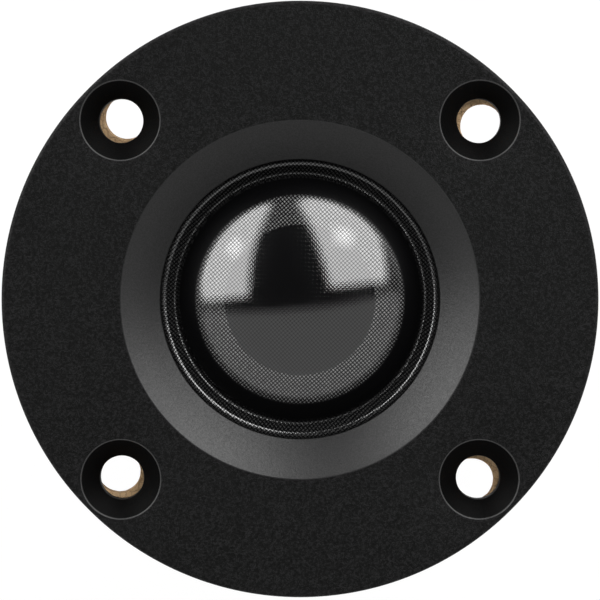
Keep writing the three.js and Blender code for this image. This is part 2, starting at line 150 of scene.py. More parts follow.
# A flat or gently curved ring with round holes through it. Returns each hole's rim, ordered by angle.
def addPiercedRing(form, loops, sides, holes, heightAt, facesUp):
    flat, edges = [], []
    for outline in [circlePoints(radius, sides) for radius in loops] + [hole["rim"] for hole in holes]:
        first, count = len(flat), len(outline)
        flat.extend(outline)
        edges.extend((first + i, first + (i + 1) % count) for i in range(count))
    points, _, faces = delaunay_2d_cdt([Vector(p) for p in flat], edges, [], 0, 1e-6)[:3]
    inner, outer = min(loops), max(loops)
    chord = math.cos(math.pi / sides)

    def isIn(hole, face):
        middle = Vector(hole["at"])
        return all((points[i] - middle).length < hole["radius"] + 0.004 for i in face)

    def isKept(face):
        middle = sum((points[i] for i in face), Vector((0, 0))) / len(face)
        return inner * chord < middle.length < outer and not any(isIn(hole, face) for hole in holes)

    kept = []
    for face in faces:
        if not isKept(face):
            continue
        a, b, c = [points[i] for i in face[:3]]
        isUp = (b - a).cross(c - a) > 0
        kept.append(list(face) if isUp == facesUp else list(reversed(face)))
    form.add([(p.x, p.y, heightAt(round(p.length, 4))) for p in points], kept)
    used = {i for face in kept for i in face}
    rims = []
    for hole in holes:
        middle = Vector(hole["at"])
        rim = [points[i] for i in used if abs((points[i] - middle).length - hole["radius"]) < 0.012]
        rim.sort(key=lambda p: math.atan2(p.y - middle.y, p.x - middle.x))
        rims.append([(p.x, p.y) for p in rim])
    return rims


# The wall of a hole: each level is (how far out from the rim, height), with a height or a function of radius.
def addBore(form, rim, middle, levels, capped=False):
    rows = []
    for spread, height in levels:
        row = []
        for x, y in rim:
            away = Vector((x - middle[0], y - middle[1]))
            away = away + away.normalized() * spread
            z = height(round(math.hypot(x, y), 4)) if callable(height) else height
            row.append((middle[0] + away.x, middle[1] + away.y, z))
        rows.append(row)
    count = len(rim)
    points = [point for row in rows for point in row]
    faces = []
    for level in range(len(rows) - 1):
        for i in range(count):
            after = (i + 1) % count
            low, high = level * count, (level + 1) * count
            faces.append([low + i, low + after, high + after, high + i])
    if capped:
        faces.append([len(points) - count + i for i in range(count)])
    form.add(points, faces)


def pieceFrom(mesh, name):
    mesh.name = name
    piece = bpy.data.objects.new(name, mesh)
    bpy.context.scene.collection.objects.link(piece)
    return piece


# Gives a piece its finish, hides the model's parts that it stands for, and hangs it on what it moves with.
def settle(piece, finish, nodes, body="driver_body", sharpAbove=38):
    mesh = piece.data
    mesh.materials.clear()
    mesh.materials.append(finish.material)
    mesh.shade_smooth()
    mesh.set_sharp_from_angle(angle=math.radians(sharpAbove))
    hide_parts(*nodes)
    if body:
        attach(piece, body)
    return piece


def turnedPiece(name, path, finish, nodes, sides=192, body="driver_body", rounding=0.12):
    form = Form()
    form.turn(rounded(path, rounding), sides)
    return settle(pieceFrom(form.mesh(name), name), finish, nodes, body)


# Makes the modifiers of a piece part of its mesh.
def applyModifiers(piece):
    depsgraph = bpy.context.evaluated_depsgraph_get()
    done = bpy.data.meshes.new_from_object(piece.evaluated_get(depsgraph), depsgraph=depsgraph)
    piece.modifiers.clear()
    piece.data = done
    return piece


def discard(piece):
    bpy.data.objects.remove(piece)


# Adds or cuts solids.
def combine(piece, others, operation):
    for other in others:
        step = piece.modifiers.new("combine", "BOOLEAN")
        step.operation = operation
        step.solver = "EXACT"
        step.object = other
    applyModifiers(piece)
    for other in others:
        discard(other)
    return piece


def breakEdges(piece, width, segments=2, above=35):
    bevel = piece.modifiers.new("edges", "BEVEL")
    bevel.width = width * mm
    bevel.segments = segments
    bevel.limit_method = "ANGLE"
    bevel.angle_limit = math.radians(above)
    bevel.use_clamp_overlap = True
    return applyModifiers(piece)


def blockSolid(x0, x1, y0, y1, z0, z1):
    form = Form()
    points = [(x, y, z) for z in (z0, z1) for y in (y0, y1) for x in (x0, x1)]
    form.add(points, [[0, 2, 3, 1], [4, 5, 7, 6], [0, 1, 5, 4], [2, 6, 7, 3], [0, 4, 6, 2], [1, 3, 7, 5]])
    return pieceFrom(form.mesh("block"), "block")


def rodSolid(x, y, radius, z0, z1, sides=64):
    form = Form()
    form.turn([(0, z0), (radius, z0), (radius, z1), (0, z1)], sides, closed=False)
    form.points = [(px + x, py + y, pz) for px, py, pz in form.points]
    return pieceFrom(form.mesh("rod"), "rod")


# A socket in a node tree, so that its maths reads as maths.
class Value:
    def __init__(self, tree, socket):
        self.tree = tree
        self.socket = socket

    def __add__(self, other): return self.tree.maths("ADD", self, other)
    def __radd__(self, other): return self.tree.maths("ADD", other, self)
    def __sub__(self, other): return self.tree.maths("SUBTRACT", self, other)
    def __rsub__(self, other): return self.tree.maths("SUBTRACT", other, self)
    def __mul__(self, other): return self.tree.maths("MULTIPLY", self, other)
    def __rmul__(self, other): return self.tree.maths("MULTIPLY", other, self)
    def __truediv__(self, other): return self.tree.maths("DIVIDE", self, other)
    def __rtruediv__(self, other): return self.tree.maths("DIVIDE", other, self)
    def __mod__(self, other): return self.tree.maths("FLOORED_MODULO", self, other)
    def __pow__(self, other): return self.tree.maths("POWER", self, other)
    def __gt__(self, other): return self.tree.maths("GREATER_THAN", self, other)
    def __lt__(self, other): return self.tree.maths("LESS_THAN", self, other)
    def __abs__(self): return self.tree.maths("ABSOLUTE", self)

    def sine(self): return self.tree.maths("SINE", self)
    def root(self): return self.tree.maths("SQRT", self)
    def floor(self): return self.tree.maths("FLOOR", self)

    # 0 below one limit and 1 above the other, with a soft step between.
    def ramp(self, low, high, toLow=0.0, toHigh=1.0):
        step = self.tree.node("ShaderNodeMapRange", {"interpolation_type": "SMOOTHSTEP"},
                              {0: self, 1: low, 2: high, 3: toLow, 4: toHigh})
        return Value(self.tree, step.outputs[0])


class Tree:
    # Any node: its settings first, then the values or links of its sockets.
    def node(self, kind, settings=None, sockets=None):
        made = self.nodes.nodes.new(kind)
        for name, value in (settings or {}).items():
            setattr(made, name, value)
        for key, value in (sockets or {}).items():
            if isinstance(value, Value):
                self.nodes.links.new(value.socket, made.inputs[key])
            elif isinstance(value, bpy.types.NodeSocket):
                self.nodes.links.new(value, made.inputs[key])
            else:
                made.inputs[key].default_value = value
        return made

    def value(self, kind, settings=None, sockets=None, output=0):
        return Value(self, self.node(kind, settings, sockets).outputs[output])

    def maths(self, operation, *terms):
        return self.value("ShaderNodeMath", {"operation": operation}, dict(enumerate(terms)))


# A material whose patterns are laid out in millimetres of the piece's own space.
class Finish(Tree):
    def __init__(self, name):
        self.material = bpy.data.materials.new(name)
        self.material.use_nodes = True
        self.nodes = self.material.node_tree
        self.nodes.nodes.clear()
        place = self.node("ShaderNodeTexCoord").outputs["Object"]
        self.place = self.value("ShaderNodeVectorMath", {"operation": "SCALE"}, {0: place, "Scale": 1000.0})
        axes = self.node("ShaderNodeSeparateXYZ", sockets={0: self.place})
        self.x, self.y, self.z = [Value(self, output) for output in axes.outputs]
        self.radius = (self.x * self.x + self.y * self.y).root()

    def noise(self, perMm, detail=2.0, roughness=0.5, at=None, distortion=0.0):
        return self.value("ShaderNodeTexNoise", {},
                          {"Vector": at or self.place, "Scale": perMm, "Detail": detail,
                           "Roughness": roughness, "Distortion": distortion})

    def cells(self, perMm, feature="F1", output=0, randomness=1.0, at=None):
        return self.value("ShaderNodeTexVoronoi", {"feature": feature},
                          {"Vector": at or self.place, "Scale": perMm, "Randomness": randomness}, output)

    def vector(self, x, y, z):
        return self.value("ShaderNodeCombineXYZ", {}, {0: x, 1: y, 2: z})

    def angleAround(self):
        return self.maths("ARCTAN2", self.y, self.x)

    def mix(self, factor, first, second):
        colours = [(*c, 1.0) if isinstance(c, tuple) else c for c in (first, second)]
        inputs = {0: factor, 6: colours[0], 7: colours[1]}
        return self.value("ShaderNodeMix", {"data_type": "RGBA"}, inputs, 2)

    # A surface shader. Bump is (height, depth in millimetres).
    def shader(self, colour, roughness, bump=None, metallic=0.0, fixed=None):
        sockets = {"Base Color": (*colour, 1.0) if isinstance(colour, tuple) else colour,
                   "Roughness": roughness, "Metallic": metallic}
        if bump:
            height, depth = bump
            sockets["Normal"] = self.value("ShaderNodeBump", {}, {"Height": height, "Distance": depth * mm,
                                                                  "Strength": 1.0})
        sockets.update(fixed or {})
        return self.value("ShaderNodeBsdfPrincipled", {}, sockets)

    def blended(self, factor, first, second):
        return self.value("ShaderNodeMixShader", {}, {0: factor, 1: first, 2: second})

    def finishWith(self, shader):
        self.node("ShaderNodeOutputMaterial", {}, {"Surface": shader})
        return self

    def surface(self, *terms, **named):
        return self.finishWith(self.shader(*terms, **named))


# A Geometry Nodes tree with named inputs. Its result is made real, given its finish and kept as a plain mesh.
class Recipe(Tree):
    def __init__(self, name, inputs):
        self.nodes = bpy.data.node_groups.new(name, "GeometryNodeTree")
        self.nodes.interface.new_socket("Geometry", in_out="INPUT", socket_type="NodeSocketGeometry")
        self.nodes.interface.new_socket("Geometry", in_out="OUTPUT", socket_type="NodeSocketGeometry")
        self.identifiers, self.inputs = {}, inputs
        for label, value in inputs.items():
            kind = "NodeSocketInt" if isinstance(value, int) else "NodeSocketFloat"
            socket = self.nodes.interface.new_socket(label, in_out="INPUT", socket_type=kind)
            socket.default_value = value
            self.identifiers[label] = socket.identifier
        self.given = self.node("NodeGroupInput")

    def input(self, label):
        return Value(self, self.given.outputs[label])

    def run(self, result, finish, piece):
        real = self.node("GeometryNodeRealizeInstances", {}, {0: result})
        coated = self.node("GeometryNodeSetMaterial", {}, {"Geometry": real.outputs[0],
                                                            "Material": finish.material})
        self.node("NodeGroupOutput", {}, {0: coated.outputs[0]})
        modifier = piece.modifiers.new(self.nodes.name, "NODES")
        modifier.node_group = self.nodes
        for label, value in self.inputs.items():
            modifier[self.identifiers[label]] = value
        return applyModifiers(piece)


cameraSettings = {"distance": 280.8, "aimHeight": 23.2, "tilt": 2.1, "lens": 162.0}
floorSettings = {"width": 6000.0, "drop": 0.02, "colour": 0.8, "shown": 0.93, "shadowShare": 0.09}
worldSettings = {"horizon": 0.55, "above": 0.03, "bandLow": 0.16, "bandHigh": 0.30}
# Each light is a rectangle, given by three of its corners, and by how bright its face is.
lightSettings = {
    "leftBox": {"corner": (-437, -11, 634), "along": (-272, 839, 367), "across": (-748, -22, 283),
                "radiance": 4.6},
    "rightBox": {"corner": (284, 38, 733), "along": (-5, 883, 408), "across": (716, 175, 382),
                 "radiance": 4.6},
    "leftLamp": {"corner": (-456, 411, 328), "along": (-403, 372, 428), "across": (-527, 314, 328),
                 "radiance": 3.0},
    "rightLamp": {"corner": (262, 396, 530), "along": (262, 500, 440), "across": (370, 380, 430),
                  "radiance": 3.0},
    "lowerWall": {"corner": (-1578, -234, 595), "along": (-1501, -1030, 45), "across": (1603, 75, 605),
                  "radiance": 0.60},
}


def makeCamera():
    camera = bpy.data.cameras.new("camera")
    camera.lens = cameraSettings["lens"]
    camera.sensor_width = 36.0
    camera.clip_start, camera.clip_end = 0.01, 50.0
    stand = bpy.data.objects.new("camera", camera)
    tilt = math.radians(cameraSettings["tilt"])
    distance = cameraSettings["distance"]
    stand.location = (0, distance * math.sin(tilt) * mm,
                      (cameraSettings["aimHeight"] + distance * math.cos(tilt)) * mm)
    stand.rotation_euler = (-tilt, 0, 0)
    bpy.context.scene.collection.objects.link(stand)
    bpy.context.scene.camera = stand


def makeFloor():
    finish = Finish("paleFloor")
    path = finish.node("ShaderNodeLightPath").outputs
    seen = finish.maths("MAXIMUM", Value(finish, path["Is Camera Ray"]),
                        finish.maths("MAXIMUM", Value(finish, path["Is Glossy Ray"]),
                                     Value(finish, path["Is Transmission Ray"])))
    colour = floorSettings["colour"]
    lit = finish.node("ShaderNodeBsdfDiffuse", {}, {"Color": (colour, colour, colour, 1.0)})
    faint = finish.node("ShaderNodeBsdfDiffuse", {}, {"Color": (floorSettings["shadowShare"],) * 3 + (1.0,)})
    glow = finish.node("ShaderNodeEmission", {},
                       {"Color": (1.0, 1.0, 1.0, 1.0), "Strength": floorSettings["shown"]})
    shown = finish.node("ShaderNodeAddShader", {}, {0: faint.outputs[0], 1: glow.outputs[0]})
    both = finish.node("ShaderNodeMixShader", {}, {0: seen, 1: lit.outputs[0], 2: shown.outputs[0]})
    finish.node("ShaderNodeOutputMaterial", {}, {"Surface": both.outputs[0]})
    half = floorSettings["width"] / 2
    form = Form()
    drop = -floorSettings["drop"]
    corners = [(-half, -half, drop), (half, -half, drop), (half, half, drop), (-half, half, drop)]
    form.add(corners, [[0, 1, 2, 3]])
    floor = pieceFrom(form.mesh("floor"), "floor")
    floor.data.materials.append(finish.material)


# White where it is seen, and otherwise a pale band along the horizon under a dark ceiling.
def makeWorld():
    world = bpy.data.worlds.new("studio")
    bpy.context.scene.world = world
    world.use_nodes = True
    studio = Tree()
    studio.nodes = world.node_tree
    studio.nodes.nodes.clear()
    path = studio.node("ShaderNodeLightPath").outputs
    direction = studio.node("ShaderNodeTexCoord").outputs["Generated"]
    height = studio.value("ShaderNodeSeparateXYZ", {}, {0: direction}, 2)
    band = height.ramp(worldSettings["bandLow"], worldSettings["bandHigh"],
                       worldSettings["horizon"], worldSettings["above"])
    seen = Value(studio, path["Is Camera Ray"])
    strength = seen + (1 - seen) * band
    glow = studio.node("ShaderNodeBackground", {}, {"Color": (1.0, 1.0, 1.0, 1.0), "Strength": strength})
    studio.node("ShaderNodeOutputWorld", {}, {"Surface": glow.outputs[0]})


def makeLight(name, settings):
    corner, along, across = [Vector(settings[key]) * mm for key in ("corner", "along", "across")]
    up, side = along - corner, across - corner
    centre = corner + (up + side) / 2
    yAxis, back = up.normalized(), side.cross(up).normalized()
    if back.dot(centre) < 0:
        back = -back
    xAxis = yAxis.cross(back).normalized()
    back = xAxis.cross(yAxis)
    light = bpy.data.lights.new(name, "AREA")
    light.shape = "RECTANGLE"
    light.size, light.size_y = side.length, up.length
    light.energy = settings["radiance"] * math.pi * side.length * up.length
    lamp = bpy.data.objects.new(name, light)
    lamp.matrix_world = Matrix.Translation(centre) @ Matrix((xAxis, yAxis, back)).transposed().to_4x4()
    lamp.visible_camera = False
    bpy.context.scene.collection.objects.link(lamp)


makeCamera()
makeFloor()
makeWorld()
for name, settings in lightSettings.items():
    makeLight(name, settings)
bpy.context.scene.view_settings.view_transform = "Standard"
print("stage: camera, floor, world and", len(lightSettings), "lights")


# Three surfaces of one moulding: a spark-eroded flange, a satin waveguide, and countersinks in a near-black,
# low-specular copy of it, which is painted shade; a pale ring on each countersink's rounded rim is a painted
# highlight.
def makeMouldedBlack():
    look = {"flatFrom": 18.62, "holeAt": 18.632, "sinkRadius": 4.1, "rimRound": 0.10, "throat": 14.4,
            "mouth": 18.4, "wear": 0.22, "speckle": 0.2}
    finish = Finish("mouldedBlack")
    isFlat = finish.radius.ramp(look["flatFrom"], look["flatFrom"] + 0.12)
    dx, dy = abs(finish.x) - look["holeAt"], abs(finish.y) - look["holeAt"]
    fromHole = (dx * dx + dy * dy).root()
    outer = look["sinkRadius"] + look["rimRound"]
    isPlate = isFlat * fromHole.ramp(outer, outer + 0.04)
    isSink = isFlat * fromHole.ramp(look["sinkRadius"] - 0.06, look["sinkRadius"], 1.0, 0.0)
    # Mask of each countersink's rounded rim, which is painted pale as a painted highlight.
    isPaintedRimHighlight = isFlat * fromHole.ramp(look["sinkRadius"] - 0.02, look["sinkRadius"] + 0.02) \
        * fromHole.ramp(outer - 0.02, outer + 0.02, 1.0, 0.0)
    coarse = finish.noise(3.4, 3, 0.65)
    fine = finish.noise(8.5, 2, 0.6)
    grain = (coarse * 0.5 + fine * 0.5).ramp(0.44, 0.62)
    erodedColour = finish.mix(grain, (0.0003, 0.0003, 0.0003), (0.0120, 0.0120, 0.0122))
    eroded = finish.shader(erodedColour, 0.50 - grain * 0.08, (coarse * 0.8 + fine * 0.6, 0.05),
                           fixed={"Specular IOR Level": 0.13})
    satin = finish.noise(4.5, 3, 0.65)
    sheen = satin.ramp(0.38, 0.64)
    satinColour = finish.mix(sheen, (0.0002, 0.0002, 0.0002), (0.0022, 0.0022, 0.0023))
    # The rims take a pale colour here: a painted highlight on the black plastic.
    glossy = finish.shader(finish.mix(isPaintedRimHighlight, satinColour, (0.030, 0.030, 0.030)), 0.46 - sheen * 0.08,
                           (satin, 0.022), fixed={"Specular IOR Level": 0.55})
    dull = finish.shader((0.0010, 0.0010, 0.0010), 0.6, (fine, 0.03), fixed={"Specular IOR Level": 0.10})
    # The waveguide is a little duller towards the throat, and speckled all over
    worn = finish.radius.ramp(look["throat"], look["mouth"], look["wear"], 0.0) \
        + finish.noise(7.0, 2, 0.7).ramp(0.40, 0.60) * look["speckle"]
    guide = finish.blended(worn, glossy, dull)
    # The countersinks take a near-black colour and a low specular, darker than the rest of the moulding:
    # painted shade in the recesses.
    sink = finish.shader((0.0008, 0.0008, 0.0008), 0.5, (fine, 0.03), fixed={"Specular IOR Level": 0.06})
    return finish.finishWith(finish.blended(isSink, finish.blended(isPlate, guide, eroded), sink))


# Black silk under a glossy damping coat, with its threads at about 45 degrees to X. The threads are painted
# pale in a ring round the dome and faintly on the roll, a painted highlight of the weave's glints, and the
# coat is dull where the dome nears its foot.
def makeCoatedSilk():
    look = {"pitch": 0.305, "turn": 42.0, "wander": 0.9, "paintedGlintFrom": 7.75, "paintedGlintTo": 10.85, "dullFrom": 10.85,
            "dullTo": 12.75, "rollFrom": 12.85, "rollTo": 13.1}
    finish = Finish("coatedSilk")
    turnBy = math.radians(look["turn"])
    wander = (finish.noise(0.2, 2, 0.5) - 0.5) * look["wander"]
    across = (finish.x * math.cos(turnBy) + finish.y * math.sin(turnBy)) / look["pitch"] + wander
    along = (finish.y * math.cos(turnBy) - finish.x * math.sin(turnBy)) / look["pitch"] - wander
    warp, weft = (across * math.pi).sine(), (along * math.pi).sine()
    isWarpUp = (warp * weft) > 0.0
    p, q = abs(warp), abs(weft)
    thread = (p ** 0.9) * (q ** 0.35) * isWarpUp + (p ** 0.35) * (q ** 0.9) * (1 - isWarpUp)
    slub = finish.noise(0.9, 2, 0.55, at=finish.vector(across * 2.0, along * 0.4, 0.0))
    coat = finish.noise(0.45, 3, 0.6)
    pits = (1 - thread).ramp(0.34, 0.80)
    isRoll = finish.radius.ramp(look["rollFrom"], look["rollTo"])
    relief = (thread * 0.55 + slub * 0.35) * (1 + isRoll * 2.6) + coat * 0.3
    # The ring round the dome where the threads get a painted highlight.
    isPaintedGlintBand = finish.radius.ramp(look["paintedGlintFrom"], look["paintedGlintFrom"] + 0.2) \
        * finish.radius.ramp(look["paintedGlintTo"] - 0.1, look["paintedGlintTo"] + 0.2, 1.0, 0.0)
    glints = finish.noise(2.6, 2, 0.7).ramp(0.35, 0.65)
    # Where the threads are painted pale: a painted highlight in the ring and, fainter, on the roll, not the
    # silk's own colour.
    seen = (isPaintedGlintBand * (0.55 + 0.45 * glints) + isRoll * 0.16) * thread.ramp(0.55, 0.95)
    colour = finish.mix(seen, (0.0009, 0.0009, 0.0011), (0.180, 0.180, 0.177))
    isDull = finish.radius.ramp(look["dullFrom"] - 0.15, look["dullFrom"] + 0.3) \
        * finish.radius.ramp(look["dullTo"] - 0.1, look["dullTo"] + 0.1, 1.0, 0.0)
    roughness = 0.05 + (coat - 0.5) * 0.03
    glossy = finish.shader(colour, roughness, (relief, 0.008), fixed={"IOR": 1.9, "Specular IOR Level": 0.6})
    dull = finish.shader(colour, 0.45, (relief, 0.012), fixed={"IOR": 1.25, "Specular IOR Level": 0.2})
    matt = finish.maths("MAXIMUM", isDull * 0.94, pits * (0.62 + 0.1 * isPaintedGlintBand + 0.3 * isRoll))
    return finish.finishWith(finish.blended(matt, glossy, dull))


# Granules of cork pressed together, with darker seams and pores.
def makeCork():
    finish = Finish("corkGasket")
    granules = finish.cells(1.3, output=1)
    tint = finish.value("ShaderNodeSeparateColor", {}, {0: granules}, 0)
    edges = finish.cells(1.3, "DISTANCE_TO_EDGE")
    pores = finish.noise(5.5, 3, 0.65)
    light = finish.mix(tint, (0.52, 0.34, 0.18), (0.69, 0.48, 0.28))
    veined = finish.mix(edges.ramp(0.02, 0.10, 0.45, 0.0), light, (0.30, 0.19, 0.10))
    colour = finish.mix(pores.ramp(0.58, 0.72), veined, (0.22, 0.13, 0.07))
    relief = edges.ramp(0.0, 0.12) * 0.6 + pores * 0.6
    roughness = 0.86 + (tint - 0.5) * 0.1
    return finish.surface(colour, roughness, (relief, 0.07), fixed={"Specular IOR Level": 0.25})


# Closed cells of dark foam.
def makeFoam():
    finish = Finish("foamSeal")
    bubbles = finish.cells(3.2)
    colour = finish.mix(bubbles, (0.022, 0.022, 0.024), (0.055, 0.055, 0.058))
    return finish.surface(colour, 0.92, (bubbles, 0.12), fixed={"Specular IOR Level": 0.2})


# Glass-filled plastic, with its fibres showing as pale flecks.
def makeDarkPlastic():
    finish = Finish("darkPlastic")
    grain = finish.noise(5.0, 3, 0.6)
    flow = finish.noise(0.09, 3, 0.6, distortion=1.5)
    fibres = finish.noise(3.0, 1, 0.5, at=finish.vector(finish.x * 5.0, finish.y * 5.0, finish.z * 0.8))
    colour = finish.mix(flow.ramp(0.3, 0.7), (0.014, 0.014, 0.0155), (0.024, 0.024, 0.0255))
    speckled = finish.mix(fibres.ramp(0.70, 0.78), colour, (0.06, 0.06, 0.06))
    roughness = 0.44 + (grain - 0.5) * 0.25 + (flow - 0.5) * 0.12
    return finish.surface(speckled, roughness, (grain, 0.03))


# Turned and pressed steel: fine rings cut by a tool, under clear zinc.
def makeZincSteel():
    finish = Finish("zincSteel")
    rings = finish.noise(9.0, 2, 0.6, at=finish.vector(finish.radius, finish.z * 0.9, 0.0))
    scratches = finish.noise(1.6, 3, 0.7, at=finish.vector(finish.x * 0.5, finish.y * 4.0, finish.z))
    clouds = finish.noise(0.12, 3, 0.6)
    colour = finish.mix(clouds.ramp(0.3, 0.7), (0.50, 0.51, 0.53), (0.62, 0.62, 0.60))
    dulled = finish.mix(scratches.ramp(0.62, 0.75, 0.0, 0.35), colour, (0.33, 0.33, 0.35))
    return finish.surface(dulled, 0.30 + (clouds - 0.5) * 0.2 + rings * 0.1, (rings + scratches * 0.3, 0.012),
                          metallic=1.0)


# Nickel plate over a sintered magnet's small pits.
def makeNickel():
    finish = Finish("magnetNickel")
    pits = finish.cells(2.0)
    bloom = finish.noise(0.3, 3, 0.6)
    colour = finish.mix(bloom, (0.58, 0.57, 0.53), (0.72, 0.71, 0.66))
    return finish.surface(colour, 0.22 + bloom * 0.16, (pits.ramp(0.0, 0.12), 0.012), metallic=1.0)


# Grey wool with paler strands through it.
def makeFelt():
    finish = Finish("woolFelt")
    hairs = finish.noise(2.4, 4, 0.75, distortion=2.2)
    strands = finish.noise(7.0, 2, 0.6, at=finish.vector(finish.x, finish.y * 0.35, finish.z), distortion=1.2)
    colour = finish.mix(hairs, (0.045, 0.043, 0.041), (0.135, 0.132, 0.126))
    pale = finish.mix(strands.ramp(0.62, 0.74, 0.0, 0.6), colour, (0.26, 0.255, 0.245))
    return finish.surface(pale, 0.95, (hairs * 0.7 + strands * 0.5, 0.16), fixed={"Specular IOR Level": 0.15})


# Copper with heat stains.
def makeCopper():
    finish = Finish("enamelledCopper")
    stain = finish.noise(0.6, 3, 0.6)
    colour = finish.mix(stain.ramp(0.35, 0.7), (0.76, 0.36, 0.19), (0.56, 0.24, 0.13))
    return finish.surface(colour, 0.24 + stain * 0.14, (stain, 0.006), metallic=1.0)


# Thin sheet with rolling lines round the tube.
def makeAluminium():
    finish = Finish("rolledAluminium")
    lines = finish.noise(6.0, 2, 0.6, at=finish.vector(finish.angleAround() * 1.2, finish.z * 4.0, 0.0))
    colour = finish.mix(lines, (0.66, 0.67, 0.69), (0.78, 0.79, 0.80))
    return finish.surface(colour, 0.28 + lines * 0.16, (lines, 0.008), metallic=1.0)


# Brass whose tin was wiped on, and is worn in places.
def makeTinnedBrass():
    finish = Finish("tinnedBrass")
    wipes = finish.noise(1.1, 3, 0.65, at=finish.vector(finish.x * 3.0, finish.y, finish.z * 0.35))
    worn = finish.noise(0.7, 3, 0.6)
    colour = finish.mix(worn.ramp(0.45, 0.75), (0.72, 0.70, 0.64), (0.74, 0.64, 0.44))
    return finish.surface(colour, 0.24 + wipes * 0.16, (wipes, 0.014), metallic=1.0)


mouldedBlack, coatedSilk, corkGasket = makeMouldedBlack(), makeCoatedSilk(), makeCork()
foamSeal, darkPlastic, zincSteel = makeFoam(), makeDarkPlastic(), makeZincSteel()
magnetNickel, woolFelt, enamelledCopper = makeNickel(), makeFelt(), makeCopper()
rolledAluminium, tinnedBrass = makeAluminium(), makeTinnedBrass()
print("finishes:", len(bpy.data.materials), "materials")


plate = {
    "sides": 256, "face": 24.0, "edge": 31.0, "edgeRound": 0.4, "mouth": 18.58, "throat": 14.655,
    "lipTop": 21.6, "lipBottom": 21.1, "land": 20.05, "landBore": 14.95, "spigotBore": 18.7, "spigot": 22.6,
    "spigotBottom": 18.4, "flangeBottom": 20.4, "holeCircle": 26.35, "sink": 4.1, "bolt": 2.3, "lip": 0.15,
    "rimRound": 0.10, "rimSteps": 4, "holeSides": 96, "boltRound": 0.08, "margin": 0.3, "pilot": 1.15,
    "pilotTop": 22.4, "pilotCircle": 20.6, "pilotSides": 32, "edgeSteps": 12,
}


def holeAt(circle, angle, radius, sides, rim=None):
    x, y = circle * math.cos(angle), circle * math.sin(angle)
    return {"at": (x, y), "radius": radius, "rim": rim or circlePoints(radius, sides, x, y)}


def plateHeight(radius):
    start = plate["edge"] - plate["edgeRound"]
    if radius <= start:
        return plate["face"]
    run = min(radius - start, plate["edgeRound"])
    return plate["face"] - plate["edgeRound"] + math.sqrt(plate["edgeRound"] ** 2 - run ** 2)


def movedRim(rim, middle, spread):
    moved = []
    for x, y in rim:
        away = Vector((x - middle[0], y - middle[1]))
        away += away.normalized() * spread
        moved.append((middle[0] + away.x, middle[1] + away.y))
    return moved


# The waveguide with its lip, the clamping land and the spigot's bore, then the spigot and the flange's edge.
def addTurnedWalls(form):
    p, margin = plate, plate["margin"]
    inner = [(p["mouth"] + margin, p["face"], 0), (p["mouth"], p["face"], 0.10),
             (p["throat"], p["lipTop"], 0.09), (p["throat"], p["lipBottom"], 0.09),
             (p["landBore"], p["lipBottom"], 0.08),
             (p["landBore"], p["land"], 0.1), (p["spigotBore"], p["land"], 0.1),
             (p["spigotBore"], p["spigotBottom"], 0.1), (p["spigotBore"] + margin, p["spigotBottom"], 0)]
    form.turn(rounded(inner, closed=False, steps=5), p["sides"], closed=False)
    outer = [(p["spigot"] - margin, p["spigotBottom"], 0), (p["spigot"], p["spigotBottom"], 0.1),
             (p["spigot"], p["flangeBottom"], 0.15), (p["spigot"] + margin, p["flangeBottom"], 0)]
    form.turn(rounded(outer, closed=False), p["sides"], closed=False)
    edge = [(p["edge"] - margin, p["flangeBottom"], 0), (p["edge"], p["flangeBottom"], 0.15),
            (p["edge"], p["face"] - p["edgeRound"] - 0.1, 0), (p["edge"], p["face"] - p["edgeRound"], 0)]
    form.turn(rounded(edge, closed=False), p["sides"], closed=False)


# A countersunk hole's wall, from its rounded rim down the cone and the bore to the underside.
def countersinkLevels():
    p = plate
    levels = [(0, plateHeight)]
    for step in range(1, p["rimSteps"] + 1):
        angle = math.pi / 2 * step / p["rimSteps"]
        drop = p["rimRound"] * (1 - math.cos(angle))
        levels.append((-p["rimRound"] * math.sin(angle), lambda r, drop=drop: plateHeight(r) - drop))
    start, coneTop = -p["rimRound"], p["face"] - p["lip"]
    bore, coneFoot = start - (p["sink"] - p["bolt"]), coneTop - (p["sink"] - p["bolt"])
    under = p["flangeBottom"]
    levels += [(start, coneTop + 0.02), (start, coneTop), (start - 0.03, coneTop - 0.03)]
    levels += [(bore + 0.06, coneFoot + 0.06), (bore + 0.02, coneFoot), (bore, coneFoot - 0.05)]
    levels += [(bore, under + 0.12), (bore, under + 0.08), (bore + 0.025, under + 0.02), (bore + 0.08, under)]
    return levels


